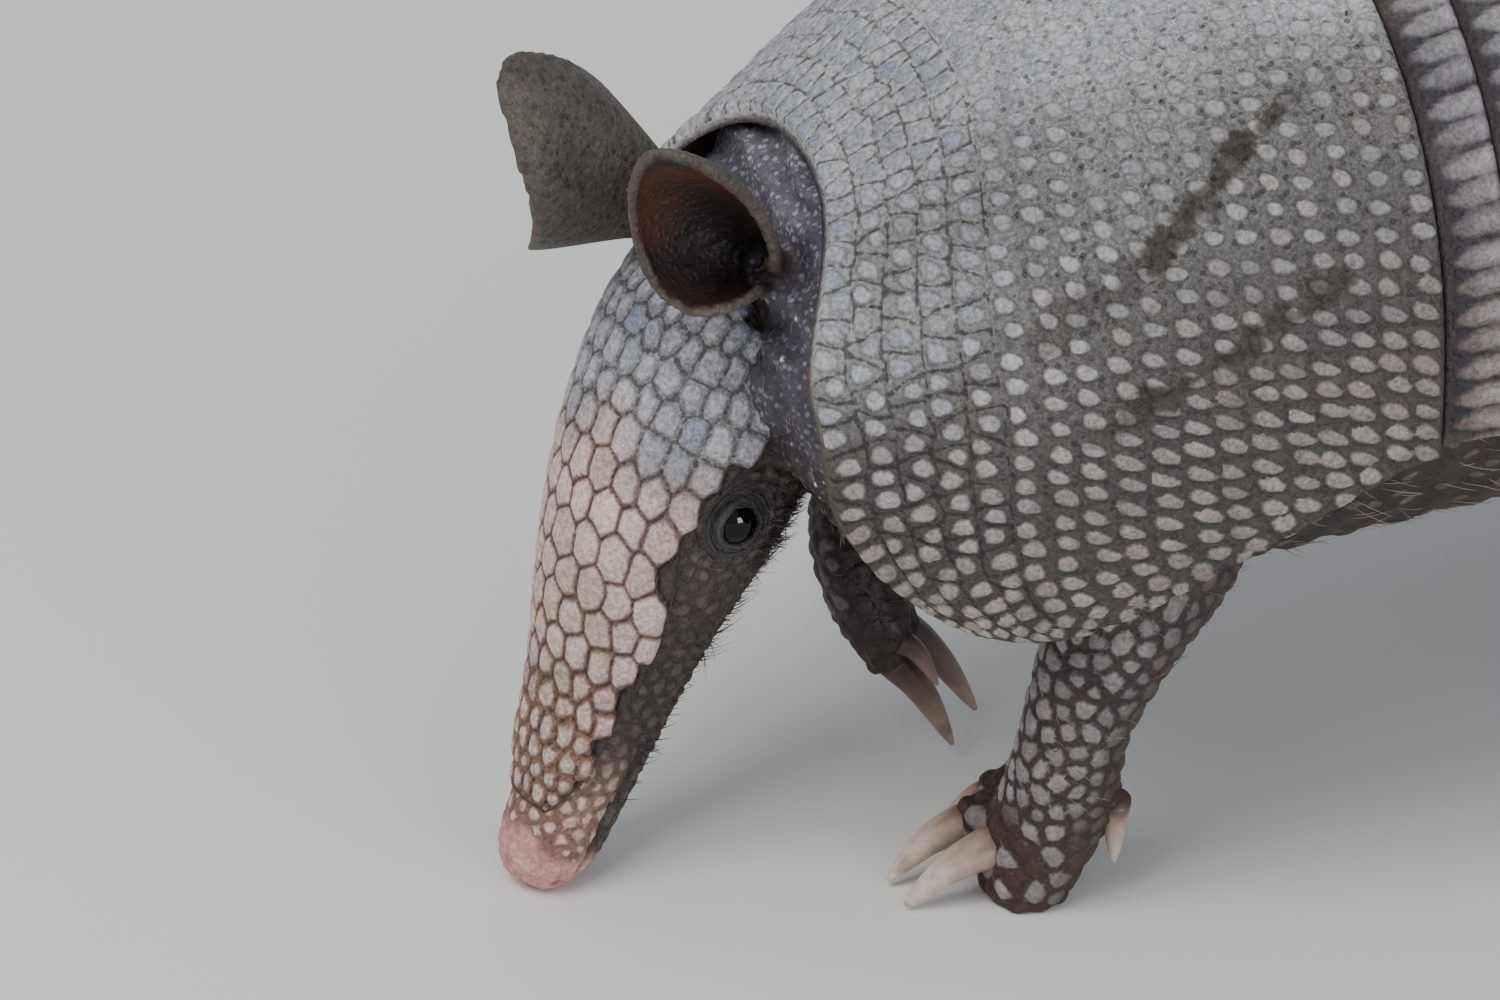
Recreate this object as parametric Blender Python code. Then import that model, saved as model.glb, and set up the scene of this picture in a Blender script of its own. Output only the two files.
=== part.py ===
"""A nine-banded armadillo at life size, nosing along the ground with its right forefoot lifted.

Run with: blender --background --python part.py

The animal faces -Y, +Z is up and its left side is +X. Sizes are in millimetres and become metres
where a mesh is made. The tables give the body from the nose at y = 0 back to the tail, and at the
end the whole model is moved so that its origin is at the middle of its footprint, on the floor.
"""

import math

import bmesh
import bpy
from mathutils import Vector

MM = 0.001
GAP = 0.3           # between pieces that meet
SHELL = 3.0         # thickness of the body armour
UNDER_SHELL = 4.2   # how far the flesh lies inside the outside of the armour
BELLY_TUCK = 9.0    # how far the flanks draw in below the armour
ROUNDNESS = 2.3     # power of the body's section: 2 is an ellipse, more is squarer

# Body sections: y, middle across, height of the middle, half width, rise to the back, drop of the
# armour, drop of the belly, tilt.
BODY = (
    (20, 1, 80, 36, 24, 36, 22, 8),
    (37, 1, 82, 42, 29.5, 45, 30, 6),
    (62, 0, 86, 53, 42, 60, 45, 4),
    (90, 0, 91, 60, 51, 61, 53, 3),
    (122, 0, 96, 64, 54, 58, 55, 1),
    (155, 0, 100, 66, 56, 57, 57, -3),
    (195, 0, 103, 67, 58, 59, 59, -8),
    (235, 0, 101, 66, 57, 55, 55, -14),
    (270, 0, 91, 60, 50, 43, 43, -28),
    (293, 0, 77, 47, 37, 28, 28, -45),
    (306, 0, 64, 31, 24, 17, 17, -58),
    (312, 0, 56, 20, 15, 12, 12, -62),
)
TRUNK_FRONT, TRUNK_REAR = 58, 303
SHIELD_FRONT = 45       # the shoulder shield's front edge over the neck
SHIELD_REAR = 117       # where the shoulder shield ends and the bands begin
BANDS = 9
BAND_LENGTH = 9.2
BAND_FLARE = 1.3        # how far each band's rear edge stands up
BAND_GAP = 0.6
RUMP_FRONT = SHIELD_REAR + BANDS * BAND_LENGTH
RUMP_REAR = 307
# Lower edge of the armour: y, degrees round from the back.
ARMOUR_EDGE = ((20, 108), (37, 116), (62, 120), (90, 108.5), (117, 99), (155, 100), (205, 104), (260, 109), (312, 116))
ARC_STEPS = 20

# Head: it hangs steeply, turned a little to its left. Its own axis runs up and back from the nose.
HEAD_PITCH = 66
HEAD_YAW = 13
NOSE = Vector((3, 0, 2))
# Along the axis from the nose: distance, half width, height to the brow side, depth to the chin.
HEAD = (
    (-2.0, 4.6, 3.8, 2.4),
    (0.5, 6.9, 5.6, 5.4),
    (5, 8.2, 6.3, 8.6),
    (14, 8.6, 6.6, 10.4),
    (30, 10.8, 9.3, 11.6),
    (45, 14.2, 13.6, 12.7),
    (58, 17.4, 16.2, 15.0),
    (70, 19.4, 17.4, 16.2),
    (85, 19.8, 17.0, 17.2),
    (97, 17.6, 13.4, 16.2),
    (105, 13.0, 8.2, 12.0),
    (109, 7.0, 3.5, 6.0),
)
# Face shield: distance along the head, half its arc in degrees.
HEAD_SHIELD = ((11, 34), (17, 60), (30, 72), (46, 72), (60, 62), (70, 69), (80, 79), (90, 74), (97, 46))
FACE_SHIELD = 2.2       # how far the face shield's outside stands off the head
EYE = Vector((15.4, 25.3, 60.3))    # the left eye, in the head's own directions from the nose
EYE_RADIUS = 4.2
NECK_INSET = 3.7        # how far the neck lies inside the outside of the armour

# Tail: x, y, z of its axis and its radius, from the rump to the tip, lying on the floor.
TAIL = (
    (0, 296, 70, 15.5),
    (0, 318, 50, 14.5),
    (1, 338, 32, 12.8),
    (3, 362, 17, 11.4),
    (7, 395, 10.0, 10.0),
    (14, 440, 8.2, 8.3),
    (23, 490, 6.3, 6.4),
    (30, 540, 4.5, 4.6),
    (31, 590, 2.9, 3.0),
    (29, 622, 1.5, 1.6),
)
TAIL_CUTS = (0.0, 0.30, 0.56, 0.78, 1.0)    # shares of its length
TAIL_NAMES = ("tail_root", "tail_middle", "tail_end", "tail_tip")
TAIL_STEPS = (9, 6, 5, 5)

# Limbs: x, y, z of the axis, radius across the leg and radius fore and aft. Each runs from inside
# the trunk to the sole, and is parted at the joint between leg and paw.
FORELEG_LEFT = (
    (27, 90, 82, 14, 17), (35, 86, 62, 12, 14), (37, 78.5, 47, 9.8, 10.5), (36, 74, 34, 8.3, 8.4),
    (35, 72.5, 25, 8.4, 8.2),
    (32, 71.5, 15, 9, 8.5), (30, 69, 7, 8.8, 8), (29.5, 68, -1, 7.4, 6.6),
)
FORELEG_RIGHT = (
    (-28, 86, 80, 14, 18), (-30, 77, 60, 12, 14), (-24, 65, 49, 9.5, 9.5), (-16.5, 57.5, 41.5, 7.4, 7),
    (-13.2, 56, 37.5, 7, 6.4),
    (-11.4, 57, 32, 8, 6.2), (-10, 58.5, 26.5, 8, 5.6), (-9.6, 60.5, 23, 6, 4),
)
HINDLEG = (
    (30, 250, 86, 17, 26), (39, 242, 66, 15.5, 24), (46, 239, 48, 13, 17), (49, 246, 32, 10, 11),
    (50, 253, 20, 8.5, 9),
    (50, 257, 10, 8.5, 9.5), (50, 255, -1, 7, 8),
)
JOINT_ROW = 4       # the row of a limb's table where its paw begins
HIND_INSTEP = ((50, 260, 7, 7.5, 5.5), (50.5, 244, 7, 9, 6), (51.5, 230, 7, 10.5, 6), (52, 224, 6, 9, 4.5))
RIGHT_HIND_STEP = 21    # the right hind foot stands this far behind the left

# Digits: name, knuckle, end of the flesh, claw tip, toe radius.
DIGITS_LEFT = (
    ("1", (22.5, 72, 15), (18, 66.5, 9.5), (15.5, 59, 0.9), 3.6),
    ("2", (26, 69, 12), (22.4, 61.5, 8.6), (22.4, 49.3, 0.9), 4.2),
    ("3", (30.5, 70, 12), (30.2, 64, 8.8), (29.4, 49.5, 0.9), 4.8),
    ("4", (35, 75.5, 18.6), (38, 79, 17.8), (36.6, 79.6, 6.6), 3.5),
)
DIGITS_RIGHT = (
    ("1", (-6.5, 57, 30), (-3.6, 60.5, 25), (-2.4, 66, 17.5), 2.9),
    ("2", (-7.6, 57, 27.5), (-6.4, 60.2, 20.6), (-6.2, 70, 4.0), 4.2),
    ("3", (-12, 58.5, 27.5), (-13.6, 64.5, 21.4), (-13.6, 76.5, 4.6), 4.2),
    ("4", (-14.4, 58, 30), (-18.4, 62.5, 25), (-23, 69, 16.5), 3.1),
)
DIGITS_HIND = (
    ("1", (43, 236, 8), (39.5, 229, 6), (37.5, 221.5, 0.9), 3.4),
    ("2", (46.5, 228, 7), (44.6, 219, 6), (43, 206.5, 0.9), 3.9),
    ("3", (51.5, 226, 7), (51.8, 215.5, 6.2), (51.8, 201.5, 0.9), 4.3),
    ("4", (57, 229, 7), (58.8, 220, 6), (60.4, 207.5, 0.9), 3.9),
    ("5", (59.5, 238, 8), (63, 232, 6), (65, 224.5, 0.9), 3.4),
)
CLAW_ARCH = 2.2         # how far a claw bows upwards between its base and its tip
CLAW_SOCKET = 0.8       # how deep a claw's base sits in its toe

# Ears, in the head's own directions from the nose: root, tip, the way the cup opens and its spread.
EARS = {
    "ear_left": ((13, 33, 97.2), (24.8, 10.6, 115.6), (0.85, -0.35, 0.25), 0.73),
    "ear_right": ((-12, 33, 96), (-20.2, 7.3, 112.6), (-0.96, 0.2, -0.1), 1.0),
}
# Along the ear: share of its length, cup radius, half the arc, how far its rear edge runs on, and the
# share of the front half of the arc that is left.
EAR_CUP = (
    (0.00, 4.6, 165, 0.0, 1.0), (0.14, 5.4, 155, 0.0, 1.0), (0.32, 8.0, 124, 0.5, 1.0),
    (0.52, 11.0, 104, 1.5, 1.0), (0.70, 13.0, 88, 3.4, 0.95), (0.86, 13.4, 74, 6.6, 0.78),
    (0.96, 12.8, 58, 9.4, 0.55), (1.02, 12.0, 32, 11.0, 0.3),
)
EAR_THICKNESS = 1.5
EAR_STEPS = 8

SKIN = ("armadillo_skin", (0.085, 0.062, 0.058), 0.75)
SCUTE = ("armour_scutes", (0.42, 0.40, 0.38), 0.6)
FACE = ("face_scutes", (0.56, 0.43, 0.40), 0.55)
HORN = ("claw_horn", (0.52, 0.43, 0.37), 0.45)
EYEBALL = ("eyeball", (0.01, 0.01, 0.012), 0.08)


def clear_scene():
    """Removes whatever the file starts with."""
    for obj in list(bpy.data.objects):
        bpy.data.objects.remove(obj, do_unlink=True)


def collection(name):
    """A new collection in the scene."""
    made = bpy.data.collections.new(name)
    bpy.context.scene.collection.children.link(made)
    return made


def material(look):
    """The Principled material of a (name, colour, roughness) look, made once."""
    name, colour, roughness = look
    made = bpy.data.materials.get(name)
    if made is None:
        made = bpy.data.materials.new(name)
        made.use_nodes = True
        shader = made.node_tree.nodes["Principled BSDF"]
        shader.inputs["Base Color"].default_value = (*colour, 1)
        shader.inputs["Roughness"].default_value = roughness
        shader.inputs["Metallic"].default_value = 0
    return made


def sample(table, place):
    """A smooth curve through a table's rows, whose first column is the place along it."""
    last = len(table) - 1
    after = next((i for i, row in enumerate(table) if row[0] > place), last)
    after = min(max(after, 1), last)
    before = after - 1
    span = table[after][0] - table[before][0]
    t = (place - table[before][0]) / span

    def slope(i, column):
        low, high = max(i - 1, 0), min(i + 1, last)
        return (table[high][column] - table[low][column]) / (table[high][0] - table[low][0]) * span

    found = []
    for column in range(1, len(table[0])):
        a, b = table[before][column], table[after][column]
        ma, mb = slope(before, column), slope(after, column)
        found.append(
            a * (2 * t**3 - 3 * t**2 + 1) + ma * (t**3 - 2 * t**2 + t)
            + b * (3 * t**2 - 2 * t**3) + mb * (t**3 - t**2)
        )
    return found


def along(points):
    """A table of points with the share of the whole length put first, for sample()."""
    lengths = [0.0]
    for a, b in zip(points, points[1:]):
        lengths.append(lengths[-1] + (Vector(b[:3]) - Vector(a[:3])).length)
    return [(d / lengths[-1], *p) for d, p in zip(lengths, points)]


def signed_power(value, power):
    return math.copysign(abs(value) ** power, value)


def body_point(y, angle, inset=0.0, taper=1.0, flesh=False):
    """A point on the body, angle degrees round from the back. A positive angle is the left side."""
    centre, middle, width, rise, armour_drop, belly_drop, tilt = sample(BODY, y)
    a, lean = math.radians(angle), math.radians(tilt)
    power = 2 / ROUNDNESS
    drop = belly_drop if flesh else armour_drop
    if flesh:
        width -= BELLY_TUCK * min(max((abs(angle) - 84) / 40, 0), 1)
    height = (rise if abs(angle) <= 90 else drop) - inset
    across = (width - inset) * taper * signed_power(math.sin(a), power)
    up = height * taper * signed_power(math.cos(a), power)
    return Vector((centre + across, y - up * math.sin(lean), middle + up * math.cos(lean)))


def from_head(point):
    """Turns a point given in the head's own directions round into the body's."""
    yaw = math.radians(HEAD_YAW)
    x, y, z = point
    return NOSE + Vector((x * math.cos(yaw) - y * math.sin(yaw), x * math.sin(yaw) + y * math.cos(yaw), z))


def head_point(distance, angle, grow=0.0):
    """A point on the head, angle degrees round from the brow side."""
    width, brow, chin = sample(HEAD, distance)
    pitch, a = math.radians(HEAD_PITCH), math.radians(angle)
    out = ((brow if abs(angle) <= 90 else chin) + grow) * math.cos(a)
    back, rise = math.cos(pitch), math.sin(pitch)
    return from_head((
        (width + grow) * math.sin(a), distance * back - out * rise, distance * rise + out * back,
    ))


def loft(name, rings, look, where):
    """A closed solid through rings of points in millimetres, each with the same number of points.

    Unlike sections follow one another here, so the faces between them are made directly. A point
    that would be under the floor is brought up to it, which gives the feet and tail their flats.
    """
    mesh = bpy.data.meshes.new(name)
    bm = bmesh.new()
    made = []
    for ring in rings:
        points = [Vector((p.x, p.y, max(p.z, 0.0))) for p in ring]
        made.append([bm.verts.new(p * MM) for p in points])
    count = len(made[0])
    for low, high in zip(made, made[1:]):
        for i in range(count):
            bm.faces.new((low[i], low[(i + 1) % count], high[(i + 1) % count], high[i]))
    bm.faces.new(made[0])
    bm.faces.new(made[-1])
    bmesh.ops.recalc_face_normals(bm, faces=bm.faces)
    bm.to_mesh(mesh)
    bm.free()
    mesh.materials.append(material(look))
    mesh.shade_smooth()
    mesh.set_sharp_from_angle(angle=math.radians(50))
    obj = bpy.data.objects.new(name, mesh)
    where.objects.link(obj)
    return obj


def round_rings(points, sides, steps, grow=0.0, start=0.0, end=1.0):
    """Rings round an axis, between two shares of its length."""
    table = along(points)
    rings = []
    for step in range(steps + 1):
        share = start + (end - start) * step / steps
        x, y, z, across, fore = sample(table, share)
        ahead = Vector(sample(table, min(share + 0.02, 1))[:3])
        behind = Vector(sample(table, max(share - 0.02, 0))[:3])
        way = (ahead - behind).normalized()
        side = (Vector((1, 0, 0)) - way * way.x).normalized()
        front = way.cross(side)
        rings.append([
            Vector((x, y, z))
            + side * ((across + grow) * math.cos(2 * math.pi * i / sides))
            + front * ((fore + grow) * math.sin(2 * math.pi * i / sides))
            for i in range(sides)
        ])
    return rings


def as_cutter(obj):
    """Keeps a cutting shape out of the finished model."""
    obj.hide_render = True
    obj.display_type = "WIRE"


def cutter(name, rings, parts):
    """A piece used only to cut its neighbours or to be joined to one."""
    made = loft(f"{name}_cutter", rings, SKIN, parts["cutters"])
    as_cutter(made)
    return made


def combine(obj, other, operation):
    """Adds a Boolean of the object with another mesh."""
    step = obj.modifiers.new(f"{operation.lower()}_{other.name}", "BOOLEAN")
    step.operation = operation
    step.object = other


def trunk_rings(grow=0.0):
    """The flesh inside the armour, which narrows to the neck in front."""
    steps = 14
    rings = []
    for step in range(steps + 1):
        y = TRUNK_FRONT + (TRUNK_REAR - TRUNK_FRONT) * step / steps
        opening = min((y - TRUNK_FRONT) / 26, 1)
        taper = 0.5 + 0.5 * math.sin(opening * math.pi / 2)
        angles = [(360 * i / ARC_STEPS + 180) % 360 - 180 for i in range(ARC_STEPS)]
        rings.append([body_point(y, angle, UNDER_SHELL - grow, taper, flesh=True) for angle in angles])
    return rings


def armour_ring(place, inset, flare):
    """One closed loop of armour: out over the back from edge to edge, then back underneath.

    place gives the loop's y at each share of the way from the back (0) to a lower edge (1 or -1).
    """
    shares = [2 * i / ARC_STEPS - 1 for i in range(ARC_STEPS + 1)]
    loop = [(place(abs(u)), u * sample(ARMOUR_EDGE, place(abs(u)))[0]) for u in shares]
    outside = [body_point(y, angle, -flare) for y, angle in loop]
    inside = [body_point(y, angle, inset - flare) for y, angle in reversed(loop)]
    return outside + inside


def shoulder_front(share):
    """The shoulder shield's front edge: a little forward at the sides, rounded at the bottom."""
    forward = 12 * math.sin(min(share / 0.6, 1) * math.pi / 2) ** 2
    corner = max((share - 0.78) / 0.22, 0)
    return SHIELD_FRONT - forward + 20 * (1 - math.sqrt(1 - corner**2))


def rump_rear(share):
    """The rump shield's rear edge, which runs forward and down round the thigh."""
    corner = max((share - 0.45) / 0.55, 0)
    return RUMP_REAR - 58 * (1 - math.sqrt(1 - corner**2))


def build_armour(parts):
    """The shoulder shield, the nine movable bands and the rump shield."""
    body = parts["body"]
    steps = 8
    rings = []
    for step in range(steps + 1):
        t = step / steps
        rings.append(armour_ring(
            lambda a, t=t: shoulder_front(a) + (SHIELD_REAR - BAND_GAP - shoulder_front(a)) * t,
            SHELL, BAND_FLARE * t**4))
    loft("shoulder_shield", rings, SCUTE, body)
    for band in range(BANDS):
        start = SHIELD_REAR + band * BAND_LENGTH
        ends = ((start, 0.0), (start + BAND_LENGTH - BAND_GAP, BAND_FLARE))
        rings = [armour_ring(lambda a, y=y: y, SHELL, flare) for y, flare in ends]
        loft(f"band_{band + 1}", rings, SCUTE, body)
    rings = []
    for step in range(steps + 1):
        t = step / steps
        rings.append(armour_ring(
            lambda a, t=t: RUMP_FRONT + (rump_rear(a) - RUMP_FRONT) * t, SHELL, 0.0))
    loft("rump_shield", rings, SCUTE, body)


def head_rings(grow=0.0):
    """The head's rings, from the nose to the back of the skull."""
    sides = 18
    places = [row[0] for row in HEAD]
    between = [(a + b) / 2 for a, b in zip(places[3:8], places[4:9])]
    return [
        [head_point(place, (360 * i / sides + 180) % 360 - 180, grow) for i in range(sides)]
        for place in sorted(places + between)
    ]


def head_shield_rings():
    """The face shield: a thin curved plate over the brow, narrower on the snout and at its ends."""
    steps, arc = 11, 12
    start, end = HEAD_SHIELD[0][0], HEAD_SHIELD[-1][0]
    rings = []
    for step in range(steps + 1):
        place = start + (end - start) * step / steps
        half = sample(HEAD_SHIELD, place)[0]
        angles = [half * (2 * i / arc - 1) for i in range(arc + 1)]
        outside = [head_point(place, a, FACE_SHIELD) for a in angles]
        inside = [head_point(place, a, FACE_SHIELD - 0.9) for a in reversed(angles)]
        rings.append(outside + inside)
    return rings


def ear_rings(name, grow=0.0):
    """A cupped ear: arcs round its own axis, nearly closed at the root and open at the tip."""
    root, tip = (from_head(v) for v in EARS[name][:2])
    opening = from_head(EARS[name][2]) - NOSE
    spread = EARS[name][3]
    side = 1 if name == "ear_left" else -1
    length = (tip - root).length
    way = (tip - root) / length
    mouth = (opening - way * way.dot(opening)).normalized()
    rearward = way.cross(mouth) * side
    half_wall = EAR_THICKNESS / 2
    rings = []
    for share, radius, half, run_on, front in EAR_CUP:
        half = math.radians(min(half / spread, 165))
        angles = [half * ((1 + front) * i / EAR_STEPS - front) for i in range(EAR_STEPS + 1)]
        cup = radius * spread
        ring = []
        for size, turns in ((cup + half_wall + grow, angles), (cup - half_wall - grow, angles[::-1])):
            for a in turns:
                centre = root + way * (length * share + run_on * math.sin(a))
                ring.append(centre + rearward * (size * math.sin(a)) - mouth * (size * math.cos(a)))
        rings.append(ring)
    return rings


def eyeball(name, side, grow, look, where):
    """An eyeball, or the grown copy that hollows its socket."""
    mesh = bpy.data.meshes.new(name)
    bm = bmesh.new()
    bmesh.ops.create_uvsphere(bm, u_segments=12, v_segments=8, radius=(EYE_RADIUS + grow) * MM)
    bm.to_mesh(mesh)
    bm.free()
    mesh.materials.append(material(look))
    mesh.shade_smooth()
    obj = bpy.data.objects.new(name, mesh)
    obj.location = from_head((EYE.x * side, EYE.y, EYE.z)) * MM
    where.objects.link(obj)
    return obj


def neck_rings(grow=0.0):
    """The neck, which widens from inside the skull to fill the front of the shoulder shield."""
    sections = ((36, 0.3), (39.5, 0.58), (42.5, 0.82), (46, 0.95), (51, 1.0), (60, 0.98), (72, 0.9))
    sides = 20
    angles = [(360 * i / sides + 180) % 360 - 180 for i in range(sides)]
    return [[body_point(y, a, NECK_INSET - grow, taper, flesh=True) for a in angles] for y, taper in sections]


def build_head(parts):
    """Head, face shield, eyes, ears and neck."""
    body = parts["body"]
    head = loft("head", head_rings(), SKIN, body)
    loft("head_shield", head_shield_rings(), FACE, body)
    head_cut = cutter("head", head_rings(GAP + 0.1), parts)
    shield_cut = cutter("head_shield", head_rings(FACE_SHIELD + 0.8), parts)
    for side, name in ((1, "eye_left"), (-1, "eye_right")):
        eyeball(name, side, 0.0, EYEBALL, body)
        socket = eyeball(f"{name}_cutter", side, GAP, SKIN, parts["cutters"])
        as_cutter(socket)
        combine(head, socket, "DIFFERENCE")
    for name in EARS:
        combine(loft(name, ear_rings(name), SKIN, body), shield_cut, "DIFFERENCE")
    neck = loft("neck", neck_rings(), SKIN, body)
    combine(neck, head_cut, "DIFFERENCE")
    combine(neck, parts["trunk_cutter"], "DIFFERENCE")
    parts["neck_cutter"] = cutter("neck", neck_rings(GAP), parts)


def claw_rings(base, tip, radius, grow=0.0):
    """A digging claw: deep at the base, flat underneath, arched towards its tip."""
    points = []
    for share, size in ((0.0, 1.0), (0.35, 0.86), (0.7, 0.6), (1.0, 0.18)):
        x, y, z = base.lerp(tip, share)
        lift = CLAW_ARCH * math.sin(math.pi * share) * 0.8
        points.append((x, y, z + lift, radius * size * 0.74, radius * size * 0.7))
    return round_rings(points, 6, 4, grow)


def build_digits(parts, paw, label, digits, shift, side):
    """Joins each toe to its paw and sets its claw in a socket at the toe's end."""
    placed = [
        (number, *(Vector((p[0] * side, p[1] + shift, p[2])) for p in (knuckle, end, tip)), radius)
        for number, knuckle, end, tip, radius in digits
    ]
    for number, knuckle, end, tip, radius in placed:
        toe_points = (
            (*knuckle, radius * 1.1, radius * 1.1), (*knuckle.lerp(end, 0.5), radius, radius),
            (*end, radius * 0.95, radius * 0.95),
        )
        combine(paw, cutter(f"{label}_toe_{number}", round_rings(toe_points, 7, 2), parts), "UNION")
    for number, _, end, tip, radius in placed:
        way = (tip - end).normalized()
        socket = claw_rings(end - way * (CLAW_SOCKET + GAP), tip, radius, GAP)
        combine(paw, cutter(f"{label}_claw_{number}", socket, parts), "DIFFERENCE")
        loft(f"{label}_claw_{number}", claw_rings(end - way * CLAW_SOCKET, tip, radius), HORN, parts["body"])


def leg_and_paw(parts, points, label, paw_label):
    """A leg, cut where it enters the trunk, and the paw below it."""
    table = along(points)
    joint = table[JOINT_ROW][0]
    length = (Vector(points[-1][:3]) - Vector(points[JOINT_ROW][:3])).length / (1 - joint)
    leg = loft(label, round_rings(points, 10, 7, end=joint), SKIN, parts["body"])
    combine(leg, parts["trunk_cutter"], "DIFFERENCE")
    if label.startswith("foreleg"):
        combine(leg, parts["neck_cutter"], "DIFFERENCE")
    return loft(paw_label, round_rings(points, 10, 4, start=joint + 1.6 * GAP / length), SKIN, parts["body"])


def build_forelegs(parts):
    """Both forelegs and paws: the left stands, the right is lifted with its claws hanging back."""
    for side, points, digits in (("left", FORELEG_LEFT, DIGITS_LEFT), ("right", FORELEG_RIGHT, DIGITS_RIGHT)):
        paw = leg_and_paw(parts, points, f"foreleg_{side}", f"forepaw_{side}")
        build_digits(parts, paw, f"forepaw_{side}", digits, 0.0, 1)


def build_hindlegs(parts):
    """Both hind legs, with the right foot a step behind the left."""
    for side, sign, shift in (("left", 1, 0.0), ("right", -1, RIGHT_HIND_STEP)):
        points = [
            (p[0] * sign, p[1] + shift * min(row / JOINT_ROW, 1), *p[2:]) for row, p in enumerate(HINDLEG)
        ]
        paw = leg_and_paw(parts, points, f"hindleg_{side}", f"hindpaw_{side}")
        instep_points = [(p[0] * sign, p[1] + shift, *p[2:]) for p in HIND_INSTEP]
        instep = cutter(f"hindpaw_{side}_instep", round_rings(instep_points, 10, 4), parts)
        combine(paw, instep, "UNION")
        build_digits(parts, paw, f"hindpaw_{side}", DIGITS_HIND, shift, sign)


def build_tail(parts):
    """The tail in four lengths, from the rump to the tip."""
    points = [(*row, row[-1]) for row in TAIL]
    length = sum((Vector(b[:3]) - Vector(a[:3])).length for a, b in zip(points, points[1:]))
    for i, name in enumerate(TAIL_NAMES):
        start = TAIL_CUTS[i] + (GAP / length if i else 0)
        rings = round_rings(points, 12, TAIL_STEPS[i], start=start, end=TAIL_CUTS[i + 1])
        piece = loft(name, rings, SCUTE, parts["body"])
        if i == 0:
            combine(piece, parts["trunk_cutter"], "DIFFERENCE")


def rest_on_origin(parts):
    """Moves the model so that its origin is under the middle of its box, on the floor."""
    bpy.context.view_layer.update()
    graph = bpy.context.evaluated_depsgraph_get()
    corners = []
    for obj in parts["body"].objects:
        evaluated = obj.evaluated_get(graph)
        corners += [evaluated.matrix_world @ v.co for v in evaluated.data.vertices]
    low = Vector(min(c[i] for c in corners) for i in range(3))
    high = Vector(max(c[i] for c in corners) for i in range(3))
    shift = -Vector(((low.x + high.x) / 2, (low.y + high.y) / 2, low.z))
    for group in ("body", "cutters"):
        for obj in parts[group].objects:
            obj.location += shift


def main():
    """Builds the whole animal."""
    clear_scene()
    parts = {"body": collection("armadillo"), "cutters": collection("cutters")}
    loft("trunk", trunk_rings(), SKIN, parts["body"])
    parts["trunk_cutter"] = cutter("trunk", trunk_rings(GAP + 0.5), parts)
    build_armour(parts)
    build_head(parts)
    build_forelegs(parts)
    build_hindlegs(parts)
    build_tail(parts)
    rest_on_origin(parts)


main()
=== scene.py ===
"""A nine-banded armadillo at life size, nosing along the ground with its right forefoot lifted.

The skin, the armour, the claws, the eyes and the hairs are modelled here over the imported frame. Sizes
are in millimetres in the animal's own directions (nose at y = 0, facing -Y, its left at +X) and are
moved to the frame in metres as each piece is made.
"""

import logging
import math
from collections.abc import Callable
from dataclasses import dataclass
from enum import Enum
from itertools import product

import bmesh
import bpy
import numpy as np
from mathutils import Matrix, Vector
from mathutils.kdtree import KDTree


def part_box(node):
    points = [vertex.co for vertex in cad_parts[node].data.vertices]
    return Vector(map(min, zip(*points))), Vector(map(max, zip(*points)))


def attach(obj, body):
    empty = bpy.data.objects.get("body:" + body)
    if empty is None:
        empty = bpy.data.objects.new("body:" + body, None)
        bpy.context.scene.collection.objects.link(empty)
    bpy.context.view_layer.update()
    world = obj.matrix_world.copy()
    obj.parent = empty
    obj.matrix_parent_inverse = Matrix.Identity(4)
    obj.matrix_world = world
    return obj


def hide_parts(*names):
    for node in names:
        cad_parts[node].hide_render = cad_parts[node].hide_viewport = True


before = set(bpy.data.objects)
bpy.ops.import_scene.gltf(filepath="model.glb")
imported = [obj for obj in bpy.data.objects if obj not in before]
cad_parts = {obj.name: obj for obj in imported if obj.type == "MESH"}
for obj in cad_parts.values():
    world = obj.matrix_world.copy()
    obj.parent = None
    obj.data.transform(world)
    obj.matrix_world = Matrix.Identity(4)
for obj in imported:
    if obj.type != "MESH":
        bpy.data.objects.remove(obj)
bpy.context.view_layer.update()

log = logging.getLogger("armadillo")

Points = np.ndarray
Table = tuple[tuple[float, ...], ...]
Edge = Callable[[Points], Points | float]
Mesh, Object, Socket = bpy.types.Mesh, bpy.types.Object, bpy.types.NodeSocket

MM = 0.001
ROUNDNESS = 2.3

# Body sections: y, middle across, height of the middle, half width, rise, armour drop, belly drop, tilt.
BODY: Table = (
    (20, 1, 80, 36, 24, 36, 22, 8),
    (37, 1, 82, 42, 29.5, 45, 30, 6),
    (62, 0, 86, 53, 42, 60, 45, 4),
    (90, 0, 91, 60, 51, 61, 53, 3),
    (122, 0, 96, 64, 54, 58, 55, 1),
    (155, 0, 100, 66, 56, 57, 57, -3),
    (195, 0, 103, 67, 58, 59, 59, -8),
    (235, 0, 101, 66, 57, 55, 55, -14),
    (270, 0, 91, 60, 50, 43, 43, -28),
    (293, 0, 77, 47, 37, 28, 28, -45),
    (306, 0, 64, 31, 24, 17, 17, -58),
    (312, 0, 56, 20, 15, 12, 12, -62),
)
ARMOUR_EDGE: Table = (
    (20, 108), (37, 116), (62, 120), (90, 108.5), (117, 99), (155, 100), (205, 104), (260, 109), (312, 116),
)
SHIELD_FRONT, SHIELD_REAR = 45.0, 117.0
BANDS, BAND_LENGTH, BAND_GAP, BAND_FLARE = 9, 9.2, 0.6, 1.3
RUMP_FRONT, RUMP_REAR = SHIELD_REAR + BANDS * BAND_LENGTH, 307.0

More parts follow.
